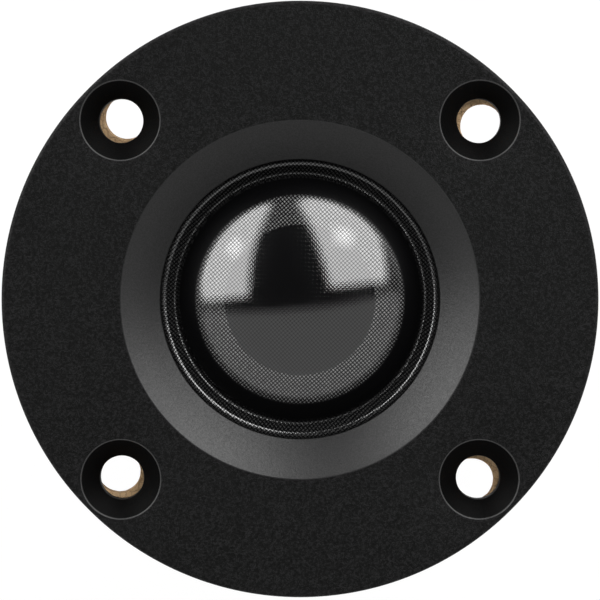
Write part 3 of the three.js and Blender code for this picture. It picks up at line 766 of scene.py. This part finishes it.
def makeFaceplate():
    p, form = plate, Form()
    sides, margin = p["sides"], p["margin"]
    edgeStart = p["edge"] - p["edgeRound"]
    edgeAngles = [math.pi / 2 * step / p["edgeSteps"] for step in range(p["edgeSteps"] + 1)]
    edgeLoops = [edgeStart + p["edgeRound"] * math.sin(angle) for angle in edgeAngles]
    rimRadius = p["sink"] + p["rimRound"]
    holes = [holeAt(p["holeCircle"], angle, rimRadius, p["holeSides"]) for angle in quarterAngles]
    topLoops = [p["mouth"] + margin, p["mouth"] + margin + 0.2, edgeStart - 0.06, *edgeLoops]
    topRims = addPiercedRing(form, topLoops, sides, holes, plateHeight, True)
    addTurnedWalls(form)

    # The underside's bolt holes have the same points round them as the rims above
    under = []
    for angle, rim in zip(quarterAngles, topRims):
        hole = holeAt(p["holeCircle"], angle, p["bolt"] + p["boltRound"], 8)
        hole["rim"] = movedRim(rim, hole["at"], hole["radius"] - rimRadius)
        under.append(hole)
    addPiercedRing(form, [p["spigot"] + margin, p["edge"] - margin], sides, under,
                   lambda r: p["flangeBottom"], False)
    pilots = [holeAt(p["pilotCircle"], angle, p["pilot"], p["pilotSides"]) for angle in quarterAngles]
    addPiercedRing(form, [p["spigotBore"] + margin, p["spigot"] - margin], sides, pilots,
                   lambda r: p["spigotBottom"], False)
    for rim, hole in zip(topRims, holes):
        addBore(form, rim, hole["at"], countersinkLevels())
    for pilot in pilots:
        addBore(form, pilot["rim"], pilot["at"], [(0, p["spigotBottom"]), (0, p["pilotTop"])], capped=True)
    piece = pieceFrom(form.mesh("waveguide_flange"), "waveguide_flange")
    return settle(piece, mouldedBlack, ["faceplate"], sharpAbove=32)


gasket = {"bore": 22.9, "radius": 30.6, "bottom": 18.35, "top": 20.35, "turn": -1.5, "sides": 320,
          "holeSides": 120, "edgeBreak": 0.1, "layers": 10, "ragged": 0.05, "grainSize": 0.55}


# A punched cork ring: flat faces and slightly ragged walls.
def makeGasket():
    g, form = gasket, Form()
    angles = [angle + math.radians(g["turn"]) for angle in quarterAngles]
    worn = g["edgeBreak"]
    holes = [holeAt(plate["holeCircle"], angle, plate["bolt"] + worn, g["holeSides"]) for angle in angles]
    loops = [g["bore"] + worn, g["radius"] - worn]
    addPiercedRing(form, loops, g["sides"], holes, lambda r: g["top"], True)
    addPiercedRing(form, loops, g["sides"], holes, lambda r: g["bottom"], False)
    heights = [g["bottom"] + (g["top"] - g["bottom"]) * step / g["layers"] for step in range(g["layers"] + 1)]
    breaks = [worn if z in (heights[0], heights[-1]) else 0 for z in heights]
    form.turn([(g["radius"] - back, z) for back, z in zip(breaks, heights)], g["sides"], closed=False)
    form.turn([(g["bore"] + back, z) for back, z in zip(breaks, heights)], g["sides"], closed=False)
    for hole in holes:
        addBore(form, hole["rim"], hole["at"], [(back - worn, z) for back, z in zip(breaks, heights)])
    ragged = []
    for x, y, z in form.points:
        point = Vector((x, y, z))
        if heights[0] + 0.01 < z < heights[-1] - 0.01:
            push = noise.noise(point / g["grainSize"]) * g["ragged"]
            point += Vector((x, y, 0)).normalized() * push
        ragged.append(tuple(point))
    form.points = ragged
    piece = pieceFrom(form.mesh("cork_gasket"), "cork_gasket")
    return settle(piece, corkGasket, ["mounting_gasket"], sharpAbove=50)


makeFaceplate()
makeGasket()
print("faceplate and gasket")


silk = {
    "sides": 256, "top": 19.15, "thickness": 0.25, "domeRadius": 13.1, "domeHeight": 5.6, "edge": 18.4,
    "creaseAt": 12.98, "creaseLift": 0.05, "creaseWidth": 0.09, "crestAt": 14.38, "crestHeight": 1.23,
    "crestRadius": 0.5, "innerTilt": 55.0, "outerTilt": 82.0, "moving": 13.1, "fixed": 14.9, "topSteps": 84,
    "underSteps": 40, "arcSteps": 24,
}


# Even steps along the dome and the roll, so that the steep parts have as many points as the flat ones.
def silkPath(isTop):
    s = silk
    under = 0.0 if isTop else s["thickness"]
    base = s["top"] - under
    sphere = (s["domeRadius"] ** 2 + s["domeHeight"] ** 2) / (2 * s["domeHeight"]) - under
    centre = s["top"] + s["domeHeight"] - sphere - under
    foot = s["domeRadius"] - (0.0 if isTop else 0.30)
    last = math.asin(foot / sphere)
    path = []
    steps = s["topSteps"] if isTop else s["underSteps"]
    for step in range(steps + 1):
        angle = last * step / steps
        radius, height = sphere * math.sin(angle), centre + sphere * math.cos(angle)
        if isTop:
            near = (radius - s["creaseAt"]) / s["creaseWidth"]
            height += s["creaseLift"] * math.exp(-near * near)
        path.append((radius, max(height, base)))
    # The roll is two straight flanks under one arc, with its inner flank the longer
    arc = s["crestRadius"] - under
    middle = s["top"] + s["crestHeight"] - s["crestRadius"]
    inner, outer = math.radians(s["innerTilt"]), math.radians(s["outerTilt"])
    roll = []
    for step in range(s["arcSteps"] + 1):
        angle = -inner + (inner + outer) * step / s["arcSteps"]
        roll.append((s["crestAt"] + arc * math.sin(angle), middle + arc * math.cos(angle)))
    (innerX, innerZ), (outerX, outerZ) = roll[0], roll[-1]
    valley, foot = innerX - (innerZ - base) / math.tan(inner), outerX + (outerZ - base) / math.tan(outer)
    path.append(((path[-1][0] + valley) / 2, base))
    path += [(valley + (innerX - valley) * step / 6, base + (innerZ - base) * step / 6) for step in range(6)]
    path += roll
    path += [(outerX + (foot - outerX) * step / 4, outerZ + (base - outerZ) * step / 4)
             for step in range(1, 5)]
    path.append((foot + 0.3, base))
    return path


# Rounds the turns of a path a little, ends kept.
def eased(path, first, last, rounds):
    path = [list(point) for point in path]
    for _ in range(rounds):
        before = [point[:] for point in path]
        for i in range(first, last):
            for axis in range(2):
                path[i][axis] = (before[i - 1][axis] + 2 * before[i][axis] + before[i + 1][axis]) / 4
    return [tuple(point) for point in path]


def makeDiaphragmFabric():
    s, form = silk, Form()
    top, bottom = silkPath(True), silkPath(False)
    top = eased(top, s["topSteps"] - 4, len(top) - 2, 2)
    bottom = eased(bottom, s["underSteps"] - 1, len(bottom) - 2, 1)
    edgeTop, edgeBottom = (s["edge"], s["top"]), (s["edge"], s["top"] - s["thickness"])
    form.turn([*bottom, edgeBottom, edgeTop, *reversed(top)], s["sides"], closed=False)
    piece = pieceFrom(form.mesh("silk_diaphragm"), "silk_diaphragm")
    settle(piece, coatedSilk, ["dome", "surround"], body=None, sharpAbove=60)
    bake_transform(piece, "driver_body", "diaphragm", start=(0, s["fixed"] * mm, s["top"] * mm),
             end=(0, s["moving"] * mm, s["top"] * mm))

    # The fabric moves with the voice coil out to the dome's foot, and less and less across the roll
    weights = piece.data.attributes["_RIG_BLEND"]
    for vertex, weight in zip(piece.data.vertices, weights.data):
        share = (s["fixed"] - math.hypot(vertex.co.x, vertex.co.y) / mm) / (s["fixed"] - s["moving"])
        share = min(max(share, 0.0), 1.0)
        weight.value = share * share * (3 - 2 * share)
    return piece


clamp = {"foamBore": 15.05, "foamRadius": 18.4, "foamBottom": 19.2, "foamTop": 20.0, "ringBore": 13.9,
         "ringRadius": 18.5, "ringBottom": 16.85, "ringTop": 18.85, "shelfRadius": 14.65, "shelf": 17.5}
leadSlots = {"at": (4.0, -4.0), "half": 1.2, "outer": -19.5, "inner": -13.395, "bottom": 17.7, "top": 19.85}


# The foam over the silk's edge, and the moulded ring under it with its two slots for the leads.
def makeClamp():
    c, slot = clamp, leadSlots
    foam = [(c["foamBore"], c["foamBottom"]), (c["foamRadius"], c["foamBottom"]),
            (c["foamRadius"], c["foamTop"]), (c["foamBore"], c["foamTop"])]
    seal = turnedPiece("clamp_foam", foam, foamSeal, ["clamp_seal"], rounding=0.2)
    form = Form()
    section = [(c["ringBore"], c["ringBottom"]), (c["ringRadius"], c["ringBottom"]),
               (c["ringRadius"], c["ringTop"]), (c["shelfRadius"], c["ringTop"]),
               (c["shelfRadius"], c["shelf"]), (c["ringBore"], c["shelf"])]
    form.turn(rounded(section, 0.1), 192)
    ring = pieceFrom(form.mesh("glue_ring"), "glue_ring")
    slots = [blockSolid(x - slot["half"], x + slot["half"], slot["outer"], slot["inner"],
                        slot["bottom"], slot["top"]) for x in slot["at"]]
    combine(ring, slots, "DIFFERENCE")
    settle(ring, darkPlastic, ["diaphragm_ring"])


coil = {"bore": 13.05, "radius": 13.4, "bottom": 14.45, "height": 2.2, "turns": 19, "layers": 3,
        "nesting": 0.87, "hoopSides": 96, "wireSides": 6}


# The winding: rings of wire laid beside and over each other, in three layers.
def makeWinding():
    wire = (coil["radius"] - coil["bore"]) / (1 + (coil["layers"] - 1) * coil["nesting"])
    recipe = Recipe("windingRecipe", {"Turns": coil["turns"], "Layers": coil["layers"],
                                      "Bore radius": (coil["bore"] + wire / 2) * mm,
                                      "Wire diameter": wire * mm,
                                      "Height": coil["height"] * mm, "Bottom": coil["bottom"] * mm})
    turns, layers = recipe.input("Turns"), recipe.input("Layers")
    wireWidth, bore = recipe.input("Wire diameter"), recipe.input("Bore radius")
    line = recipe.node("GeometryNodeMeshLine", {}, {"Count": turns * layers, "Offset": (0.0, 0.0, 0.0)})
    index = recipe.value("GeometryNodeInputIndex")
    layer = (index / turns).floor()
    turn = index % turns
    pitch = (recipe.input("Height") - wireWidth * 1.5) / (turns - 1)
    height = recipe.input("Bottom") + wireWidth / 2 + turn * pitch + (layer % 2) * wireWidth / 2
    spot = recipe.node("ShaderNodeCombineXYZ", {}, {2: height})
    placed = recipe.node("GeometryNodeSetPosition", {},
                         {"Geometry": line.outputs[0], "Position": spot.outputs[0]})
    hoop = recipe.node("GeometryNodeCurvePrimitiveCircle", {"mode": "RADIUS"},
                       {"Resolution": coil["hoopSides"], "Radius": bore})
    scale = (bore + layer * wireWidth * coil["nesting"]) / bore
    wide = recipe.node("ShaderNodeCombineXYZ", {}, {0: scale, 1: scale, 2: 1.0})
    hoops = recipe.node("GeometryNodeInstanceOnPoints", {},
                        {"Points": placed.outputs[0], "Instance": hoop.outputs[0], "Scale": wide.outputs[0]})
    real = recipe.node("GeometryNodeRealizeInstances", {}, {0: hoops.outputs[0]})
    section = recipe.node("GeometryNodeCurvePrimitiveCircle", {"mode": "RADIUS"},
                          {"Resolution": coil["wireSides"], "Radius": wireWidth / 2})
    swept = recipe.node("GeometryNodeCurveToMesh", {}, {"Curve": real.outputs[0],
                                                        "Profile Curve": section.outputs[0]})
    empty = pieceFrom(bpy.data.meshes.new("coil_turns"), "coil_turns")
    piece = recipe.run(swept.outputs[0], enamelledCopper, empty)
    settle(piece, enamelledCopper, ["voice_coil_winding"], body="diaphragm")


former = {"bore": 12.85, "radius": 13.0, "bottom": 14.35, "top": 18.85}


def ringSection(bore, radius, bottom, top):
    return [(bore, bottom), (radius, bottom), (radius, top), (bore, top)]


def makeFormer():
    turnedPiece("former_tube", ringSection(**former), rolledAluminium,
                ["voice_coil_former"], body="diaphragm", rounding=0.03)


makeDiaphragmFabric()
makeClamp()
makeFormer()
makeWinding()
print("diaphragm, clamp and voice coil")


cup = {"vent": 3.0, "floorBottom": 6.7, "floorTop": 10.2, "radius": 17.5, "bore": 13.75, "rim": 18.5,
       "rimBottom": 14.8, "rimTop": 16.8}
magnet = {"bore": 3.2, "radius": 11.6, "bottom": 10.25, "top": 14.25}
topPlate = {"bore": 3.2, "radius": 12.25, "bottom": 14.3, "top": 16.8}
cap = {"bore": 12.3, "radius": 12.5, "bottom": 14.3, "top": 17.05, "opening": 8.1, "underside": 16.85}
poleFelt = {"bore": 3.2, "radius": 7.8, "bottom": 16.85, "top": 18.35}


def makeMotor():
    pot = [(cup["vent"], cup["floorBottom"], 0.3), (cup["radius"], cup["floorBottom"], 0.6),
           (cup["radius"], cup["rimBottom"], 0.15), (cup["rim"], cup["rimBottom"], 0.15),
           (cup["rim"], cup["rimTop"], 0.2), (cup["bore"], cup["rimTop"], 0.15),
           (cup["bore"], cup["floorTop"], 0.3), (cup["vent"], cup["floorTop"], 0.2)]
    turnedPiece("motor_cup", pot, zincSteel, ["steel_cup"])
    turnedPiece("magnet_ring", ringSection(**magnet), magnetNickel, ["ring_magnet"],
                rounding=0.35)
    turnedPiece("top_plate", ringSection(**topPlate), zincSteel, ["pole_plate"], rounding=0.15)
    cover = [(cap["bore"], cap["bottom"]), (cap["radius"], cap["bottom"]), (cap["radius"], cap["top"]),
             (cap["opening"], cap["top"]), (cap["opening"], cap["underside"]),
             (cap["bore"], cap["underside"])]
    turnedPiece("shorting_cap", cover, enamelledCopper, ["copper_cap"], rounding=0.06)
    felt = feltRing("pole_damping_felt", **poleFelt)
    settle(felt, woolFelt, ["pole_felt"])


feltCut = {"sides": 160, "steps": 12, "edgeSteps": 5, "softEdge": 0.6, "inset": 0.05, "crown": 0.12,
           "drawIn": 0.03, "lumps": ((1.4, 0.05), (4.1, 0.03))}


# A cut ring or disc of felt, with crowned faces and soft, uneven edges.
def feltRing(name, bore, radius, bottom, top):
    form, height, path = Form(), top - bottom, []
    steps, edgeSteps = feltCut["steps"], feltCut["edgeSteps"]
    for step in range(steps + 1):
        path.append((bore + (radius - bore) * step / steps, bottom))
    path += [(radius, bottom + height * step / edgeSteps) for step in range(1, edgeSteps)]
    for step in range(steps, -1, -1):
        path.append((bore + (radius - bore) * step / steps, top))
    if bore > 0:
        path += [(bore, bottom + height * step / edgeSteps) for step in range(edgeSteps - 1, 0, -1)]
    form.turn(path, feltCut["sides"], closed=bore > 0)
    moved = []
    for x, y, z in form.points:
        point = Vector((x, y, z))
        rough = sum(noise.noise(point * perMm) * depth for perMm, depth in feltCut["lumps"])
        nearEdge = 1 - min((radius - math.hypot(x, y)) / feltCut["softEdge"], 1.0)
        share = (z - bottom) / height * 2 - 1
        point.z -= share * (feltCut["inset"] + abs(rough) + feltCut["crown"] * nearEdge * nearEdge)
        if nearEdge > 0:
            point -= Vector((x, y, 0)).normalized() * (feltCut["drawIn"] + abs(rough)) * nearEdge
        moved.append(tuple(point))
    form.points = moved
    return pieceFrom(form.mesh(name), name)


makeMotor()
print("motor")


chassis = {"lowerBore": 17.6, "bore": 18.6, "radius": 22.6, "bottom": 11.0, "step": 14.75, "top": 18.35,
           "screwCircle": 20.6, "screwHole": 1.2, "pocket": 2.2, "pocketTop": 12.8, "edgeBreak": 0.13}
block = {"inner": 19.3, "outer": 22.4, "bottom": 8.6, "top": 12.0, "halfAngle": 21.4, "steps": 24}
polarity = {"plusAt": 5.9, "minusAt": -5.4, "halfLength": 0.75, "halfWidth": 0.15, "height": 9.8,
            "lift": 0.3, "root": 0.5}
bladeSlots = {"halves": ((4.0, 2.5), (-4.0, 1.5)), "outer": -20.9917, "inner": -20.2917, "bottom": 7.6,
              "top": 19.35, "tabHalf": 1.0, "tabOuter": -20.3917, "tabInner": -17.5, "tabBottom": 17.7}
ejector = {"circle": 20.3, "radius": 0.9, "depth": 0.07, "count": 8}


# A curved block under the chassis that holds the two blades.
def makeTerminalBlock():
    steps, half, points = block["steps"], math.radians(block["halfAngle"]), []
    for z in (block["bottom"], block["top"]):
        for radius in (block["inner"], block["outer"]):
            for step in range(steps + 1):
                angle = -math.pi / 2 - half + 2 * half * step / steps
                points.append((radius * math.cos(angle), radius * math.sin(angle), z))
    row = steps + 1
    corners = [0, row, 3 * row, 2 * row]
    faces = [[a + i, a + i + 1, b + i + 1, b + i] for a, b in zip(corners, corners[1:] + corners[:1])
             for i in range(steps)]
    faces += [corners, [corner + steps for corner in reversed(corners)]]
    form = Form()
    form.add(points, faces)
    return pieceFrom(form.mesh("block"), "block")


# The plus and minus marks, standing a little out of the block's outer face.
def makePolarityMarks():
    p, marks = polarity, []
    for x, isPlus in ((p["plusAt"], True), (p["minusAt"], False)):
        face = -math.sqrt(block["outer"] ** 2 - x ** 2)
        bars = [(p["halfLength"], p["halfWidth"])]
        if isPlus:
            bars.append((p["halfWidth"], p["halfLength"]))
        for across, up in bars:
            marks.append(blockSolid(x - across, x + across, face - p["lift"], face + p["root"],
                                    p["height"] - up, p["height"] + up))
    return marks


def makeChassis():
    c, slot, above = chassis, bladeSlots, chassis["top"] + 1
    form = Form()
    form.turn([(c["lowerBore"], c["bottom"]), (c["radius"], c["bottom"]), (c["radius"], c["top"]),
               (c["bore"], c["top"]), (c["bore"], c["step"]), (c["lowerBore"], c["step"])], 192)
    ring = pieceFrom(form.mesh("driver_chassis"), "driver_chassis")
    combine(ring, [makeTerminalBlock()], "UNION")
    combine(ring, makePolarityMarks(), "UNION")
    tools = []
    for angle in quarterAngles:
        x, y = c["screwCircle"] * math.cos(angle), c["screwCircle"] * math.sin(angle)
        tools.append(rodSolid(x, y, c["screwHole"], c["bottom"] + 1, above))
        tools.append(rodSolid(x, y, c["pocket"], c["bottom"] - 1, c["pocketTop"]))
    for x, half in slot["halves"]:
        tools.append(blockSolid(x - half, x + half, slot["outer"], slot["inner"], slot["bottom"],
                                slot["top"]))
        tools.append(blockSolid(x - slot["tabHalf"], x + slot["tabHalf"], slot["tabOuter"], slot["tabInner"],
                                slot["tabBottom"], slot["top"]))
    # Shallow marks of the ejector pins in the lower face, clear of the terminal block
    for step in range(ejector["count"]):
        angle = math.pi / 8 + step * math.pi / 4
        if abs(angle - 1.5 * math.pi) > 0.5:
            x, y = ejector["circle"] * math.cos(angle), ejector["circle"] * math.sin(angle)
            tools.append(rodSolid(x, y, ejector["radius"], c["bottom"] - 1, c["bottom"] + ejector["depth"],
                                  sides=32))
    combine(ring, tools, "DIFFERENCE")
    breakEdges(ring, c["edgeBreak"])
    settle(ring, darkPlastic, ["chassis"], sharpAbove=42)


screw = {"seat": 12.75, "head": 1.9, "headHeight": 1.4, "headRound": 0.55, "core": 0.80, "crest": 1.05,
         "threadPitch": 0.85, "threadWidth": 0.24, "threadStart": 0.6, "length": 9.0, "tip": 1.0, "rows": 150,
         "sides": 48, "recessLength": 2.2, "recessWidth": 0.6, "recessDepth": 0.8, "circle": 20.6, "count": 4,
         "spin": 1.93}


# One self-tapping screw, head down, with its thread as real relief.
def makeScrewForm():
    s, form = screw, Form()
    seat = s["seat"]
    path = rounded([(0, seat - s["headHeight"], 0), (s["head"], seat - s["headHeight"], s["headRound"]),
                    (s["head"], seat, 0.08), (s["core"], seat, 0)], closed=False, steps=6)
    for row in range(1, s["rows"]):
        path.append((s["core"], seat + s["length"] * row / s["rows"]))
    path.append((0, seat + s["length"]))

    def threaded(angle, radius, z):
        up = z - seat
        if up <= 0.01:
            return radius, z
        wave = ((up / s["threadPitch"] - angle / tau) % 1.0) - 0.5
        crest = max(0.0, 1 - abs(wave) / s["threadWidth"])
        start = min(max(up - s["threadStart"], 0) / 0.5, 1.0)
        lift = (s["crest"] - s["core"]) * min(crest * 1.15, 1.0) * start
        taper = min(1.0, (s["length"] - up) / s["tip"])
        return (radius + lift) * max(taper, 0.02), z

    form.turn(path, s["sides"], closed=False, shift=threaded)
    made = pieceFrom(form.mesh("screwForm"), "screwForm")
    half, wide, floor = s["recessLength"] / 2, s["recessWidth"] / 2, seat - s["headHeight"] + s["recessDepth"]
    below = seat - s["headHeight"] - 1
    slots = [blockSolid(-half, half, -wide, wide, below, floor),
             blockSolid(-wide, wide, -half, half, below, floor)]
    return combine(made, slots, "DIFFERENCE")


def makeScrews():
    recipe = Recipe("screwRecipe", {"Count": screw["count"], "Circle radius": screw["circle"] * mm,
                                    "First angle": math.pi / 4})
    first = recipe.input("First angle")
    circle = recipe.node("GeometryNodeMeshCircle", {}, {"Vertices": recipe.input("Count"),
                                                        "Radius": recipe.input("Circle radius")})
    turn = recipe.node("ShaderNodeCombineXYZ", {}, {2: first})
    turned = recipe.node("GeometryNodeTransform", {},
                         {"Geometry": circle.outputs[0], "Rotation": turn.outputs[0]})
    index = recipe.value("GeometryNodeInputIndex")
    spin = recipe.node("ShaderNodeCombineXYZ", {}, {2: first + index * screw["spin"]})
    placed = recipe.node("GeometryNodeInstanceOnPoints", {}, {"Points": turned.outputs[0],
                                                              "Instance": recipe.given.outputs["Geometry"],
                                                              "Rotation": spin.outputs[0]})
    piece = recipe.run(placed.outputs[0], zincSteel, makeScrewForm())
    piece.name = "chassis_screws"
    names = ["chassis_screw_%d" % number for number in range(1, screw["count"] + 1)]
    settle(piece, zincSteel, names, sharpAbove=30)


potSection = {"foot": 11.0, "footHeight": 0.3, "gate": (0.55, 0.75, 1.1), "dimple": 0.16, "radius": 16.6,
              "wallTop": 5.0, "flange": 19.0, "flangeBottom": 6.4, "flangeTop": 9.2, "seatBore": 17.6,
              "seat": 6.65, "bore": 15.2, "floor": 1.5}
potFelt = {"bore": 0, "radius": 14.9, "bottom": 1.55, "top": 4.55}


# The pot behind the motor, with a gate mark in the middle of its recessed back.
def makeRearChamber():
    p, back = potSection, potSection["footHeight"]
    inner, middle, outer = p["gate"]
    path = [(0, back, 0), (inner, back, 0.05), (middle, p["dimple"], 0.05), (outer, back, 0.05),
            (p["foot"], back, 0.08), (p["foot"], 0.0, 0.12), (p["radius"], 0.0, 1.2),
            (p["radius"], p["wallTop"], 0.5),
            (p["flange"], p["flangeBottom"], 0.35), (p["flange"], p["flangeTop"], 0.3),
            (p["seatBore"], p["flangeTop"], 0.12), (p["seatBore"], p["seat"], 0.1),
            (p["bore"], p["seat"], 0.1),
            (p["bore"], p["floor"], 0.6), (0, p["floor"], 0)]
    form = Form()
    form.turn(rounded(path, closed=False, steps=6), 192, closed=False)
    settle(pieceFrom(form.mesh("rear_pot"), "rear_pot"), darkPlastic, ["rear_chamber"])
    felt = feltRing("pot_felt", **potFelt)
    settle(felt, woolFelt, ["chamber_felt"])


makeChassis()
makeScrews()
makeRearChamber()
print("chassis, screws and rear chamber")


blade = {"tip": 2.2, "taper": 0.7, "taperLength": 1.1, "eyeLift": 3.2, "eye": 0.65, "thickness": 0.5,
         "inner": 20.3917, "shoulder": 17.2, "tabWidth": 1.8, "tabMiddle": 18.0, "tabEnd": 17.3917,
         "bend": 0.45, "neck": 0.3, "bendSteps": 8, "eyeSides": 40}


# A punched blank, rounded at its edges, whose narrow end is then bent inwards.
def makeBlade(name, node, x, width):
    b, half, tab = blade, width / 2, blade["tabWidth"] / 2
    middle = b["inner"] + b["thickness"] / 2
    straight = b["tabMiddle"] - b["bend"] - b["tip"]
    bendLength = b["bend"] * math.pi / 2
    length = straight + bendLength + (middle - b["bend"] - b["tabEnd"])
    shoulder = b["shoulder"] - b["tip"]
    neckTop = shoulder + b["neck"]
    outline = [(-half + b["taper"], 0), (half - b["taper"], 0), (half, b["taperLength"]), (half, shoulder),
               (tab, neckTop), (tab, length), (-tab, length), (-tab, neckTop), (-half, shoulder),
               (-half, b["taperLength"])]
    eye = circlePoints(b["eye"], b["eyeSides"], 0, b["eyeLift"])
    flat, edges = list(outline), [(i, (i + 1) % len(outline)) for i in range(len(outline))]
    edges += [(len(flat) + i, len(flat) + (i + 1) % len(eye)) for i in range(len(eye))]
    flat += eye
    for step in range(b["bendSteps"] + 1):
        s = straight + bendLength * step / b["bendSteps"]
        edges.append((len(flat), len(flat) + 1))
        flat += [(-tab, s), (tab, s)]
    points, _, faces = delaunay_2d_cdt([Vector(p) for p in flat], edges, [], 1, 1e-6)[:3]

    def isKept(face):
        centre = sum((points[i] for i in face), Vector((0, 0))) / len(face)
        inWide = centre.y < shoulder and abs(centre.x) < half
        if centre.y < b["taperLength"]:
            inWide = abs(centre.x) < half - b["taper"] * (1 - centre.y / b["taperLength"])
        lean = (b["neck"] - min(centre.y - shoulder, b["neck"])) / b["neck"] * (half - tab)
        inTab = centre.y >= shoulder and abs(centre.x) < tab + lean
        return (inWide or inTab) and (centre - Vector((0, b["eyeLift"]))).length > b["eye"] * 0.99

    kept = [face for face in faces if isKept(face)]
    form = Form()
    form.add([(p.x, 0, p.y) for p in points], kept)
    piece = pieceFrom(form.mesh(name), name)
    work = bmesh.new()
    work.from_mesh(piece.data)
    bmesh.ops.recalc_face_normals(work, faces=work.faces)
    bmesh.ops.solidify(work, geom=work.faces[:], thickness=b["thickness"] * mm)
    bmesh.ops.recalc_face_normals(work, faces=work.faces)
    low = min(v.co.y for v in work.verts)
    for vertex in work.verts:
        vertex.co.y -= low + b["thickness"] / 2 * mm
    work.to_mesh(piece.data)
    work.free()
    breakEdges(piece, 0.07, above=50)
    for vertex in piece.data.vertices:
        across, out, s = [c / mm for c in vertex.co]
        turn = min(max((s - straight) / bendLength, 0.0), 1.0) * math.pi / 2
        beyond = max(s - straight - bendLength, 0.0)
        radius = b["bend"] + out
        y = -(middle + out) if s <= straight else -(middle - b["bend"]) - radius * math.cos(turn) + beyond
        z = b["tip"] + s if s <= straight else b["tip"] + straight + radius * math.sin(turn)
        vertex.co = Vector((x + across, y, z)) * mm
    work = bmesh.new()
    work.from_mesh(piece.data)
    bmesh.ops.recalc_face_normals(work, faces=work.faces)
    work.to_mesh(piece.data)
    work.free()
    settle(piece, tinnedBrass, [node], sharpAbove=40)


lead = {"route": [(-12.684, 17.8), (-13.068, 17.975), (-13.781, 18.36), (-15.887, 18.5), (-17.992, 18.5)],
        "strands": 3, "lay": 0.088, "strandRadius": 0.098, "twists": 5.0, "steps": 96}


# Three strands of tinsel twisted together, from the voice coil up onto the solder tab.
def makeLeads():
    form, count = Form(), lead["steps"]
    route = [Vector((0, y, z)) for y, z in lead["route"]]
    route = [2 * route[0] - route[1], *route, 2 * route[-1] - route[-2]]
    line = []
    for step in range(count + 1):
        at = step / count * (len(route) - 3)
        i = min(int(at), len(route) - 4)
        t = at - i
        a, b, c, d = route[i:i + 4]
        curve = (2 * a - 5 * b + 4 * c - d) * t * t + (3 * b - a - 3 * c + d) * t ** 3
        line.append(0.5 * (2 * b + (c - a) * t + curve))
    for x in (4.0, -4.0):
        for strand in range(lead["strands"]):
            rings = []
            for step, middle in enumerate(line):
                ahead = (line[min(step + 1, count)] - line[max(step - 1, 0)]).normalized()
                side = Vector((1, 0, 0))
                up = ahead.cross(side)
                twist = tau * (strand / lead["strands"] + lead["twists"] * step / count)
                core = middle + (side * math.cos(twist) + up * math.sin(twist)) * lead["lay"]
                ringPoints = []
                for n in range(8):
                    a = tau * n / 8
                    point = core + (side * math.cos(a) + up * math.sin(a)) * lead["strandRadius"]
                    ringPoints.append((point.x + x, point.y, point.z))
                rings.append(ringPoints)
            points = [point for ringPoints in rings for point in ringPoints]
            faces = [[k * 8 + n, (k + 1) * 8 + n, (k + 1) * 8 + (n + 1) % 8, k * 8 + (n + 1) % 8]
                     for k in range(count) for n in range(8)]
            faces += [list(range(8)), [count * 8 + n for n in reversed(range(8))]]
            form.add(points, faces)
    piece = pieceFrom(form.mesh("tinsel_leads"), "tinsel_leads")
    settle(piece, enamelledCopper, ["lead_wire_positive", "lead_wire_negative"])


makeBlade("blade_positive", "terminal_positive", 4.0, 4.8)
makeBlade("blade_negative", "terminal_negative", -4.0, 2.8)
makeLeads()
print("terminals and leads")
